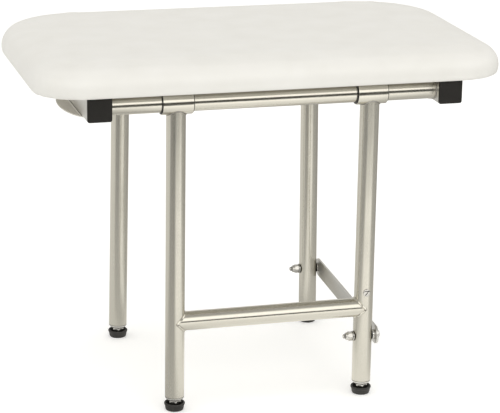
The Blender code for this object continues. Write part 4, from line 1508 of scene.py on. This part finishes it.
# %% Floor
def make_floor():
    skin = bmesh.new()
    bmesh.ops.create_grid(skin, x_segments=1, y_segments=1, size=9.0)
    floor = add_object("studio_floor", to_mesh("studio_floor", skin))
    finish, tree, shader = new_finish("pale_floor")
    path = add_node(tree, "ShaderNodeLightPath").outputs
    glow = blend_colours(tree, path["Is Camera Ray"], BLACK, (0.34, 0.34, 0.338))
    inputs = {
        "Base Color": blend_colours(tree, path["Is Glossy Ray"], (0.92, 0.92, 0.91), BLACK),
        "Roughness": 0.85,
        "Specular IOR Level": 0.1,
        "Emission Color": blend_colours(tree, path["Is Glossy Ray"], glow, mirrored_floor(tree)),
        "Emission Strength": 1.0,
    }
    feed(tree, shader, inputs)
    floor.data.materials.append(finish)


make_floor()
print("floor made")

# %% [markdown]
# The world works the same way: white to the camera, soft light to matt surfaces, and a room with a
# window to the steel.

# %% World
WINDOW = ((0.0, 0.07), (0.145, 0.07), (0.185, 1.55), (0.68, 1.55), (0.76, 0.50), (1.0, 0.44))
WALL_BEHIND = ((0.0, 0.75), (0.45, 0.75), (0.62, 0.30), (1.0, 0.42))


def make_world():
    """White to the eye, bright to matt surfaces, and a warm room to anything that mirrors it."""
    world = bpy.data.worlds.new("studio_world")
    bpy.context.scene.world = world
    world.use_nodes = True
    tree = world.node_tree
    path = add_node(tree, "ShaderNodeLightPath").outputs
    matt = blend_colours(tree, path["Is Camera Ray"], (0.82, 0.812, 0.792), (1.0, 1.0, 1.0))
    way = add_node(tree, "ShaderNodeTexCoord").outputs["Generated"]
    parts = add_node(tree, "ShaderNodeSeparateXYZ", {0: way}).outputs
    ahead = grey_steps(tree, parts["Z"], WINDOW)
    behind = grey_steps(tree, parts["Z"], WALL_BEHIND)
    front = spread(tree, parts["Y"], 0.0, -0.25, 0.0, 1.0)
    room = blend_colours(tree, front, behind, ahead)
    seen = blend_colours(tree, path["Is Glossy Ray"], matt, room)
    feed(tree, tree.nodes["Background"], {"Color": seen, "Strength": 1.0})


make_world()
print("world made:", bpy.context.scene.world.name)

# %% [markdown]
# Each panel is a large soft light that the steel doesn't mirror, so it only lights and shades.


# %% Lights
def soft_panel(name, place, width, height, power):
    light = bpy.data.lights.new(name, "AREA")
    light.shape = "RECTANGLE"
    light.size = width
    light.size_y = height
    light.energy = power
    light.color = (1.0, 0.985, 0.96)
    lamp = add_object(name, light)
    lamp.location = place
    lamp.rotation_mode = "QUATERNION"
    lamp.rotation_quaternion = (SEAT_MIDDLE - Vector(place)).to_track_quat("-Z", "Y")
    lamp.visible_glossy = False


SEAT_MIDDLE = Vector((0.0, 0.0, cad_high.z / 2))
soft_panel("overhead_panel", (0.0, -0.3, 2.6), 3.0, 2.2, 9.0)
soft_panel("front_panel", (0.1, -2.5, 1.2), 1.6, 1.5, 10.0)
soft_panel("left_panel", (-2.6, 0.7, 0.9), 1.2, 1.4, 3.0)
print("lights:", len(bpy.data.lights))

# %% [markdown]
# The camera is far away with a long lens, as in a catalogue, which keeps the legs nearly
# parallel. It stands to the left of the stool, looks down a little, and is rolled by less than
# a degree.

# %% Camera
CAMERA_PLACE = (-0.757, -2.706, 1.074)
CAMERA_TURN = math.radians(-15.90)
CAMERA_DOWN = math.radians(16.80)
CAMERA_ROLL = math.radians(0.91)
CAMERA_LENS = 153.8
camera_data = bpy.data.cameras.new("catalogue_camera")
camera_data.lens = CAMERA_LENS
camera_data.sensor_width = 36.0
camera = add_object("catalogue_camera", camera_data)
camera.matrix_world = (
    Matrix.Translation(CAMERA_PLACE)
    @ Matrix.Rotation(CAMERA_TURN, 4, "Z")
    @ Matrix.Rotation(math.pi / 2 - CAMERA_DOWN, 4, "X")
    @ Matrix.Rotation(CAMERA_ROLL, 4, "Z")
)
bpy.context.scene.camera = camera
bpy.context.scene.view_settings.view_transform = "Standard"
print("camera lens, mm:", camera_data.lens)
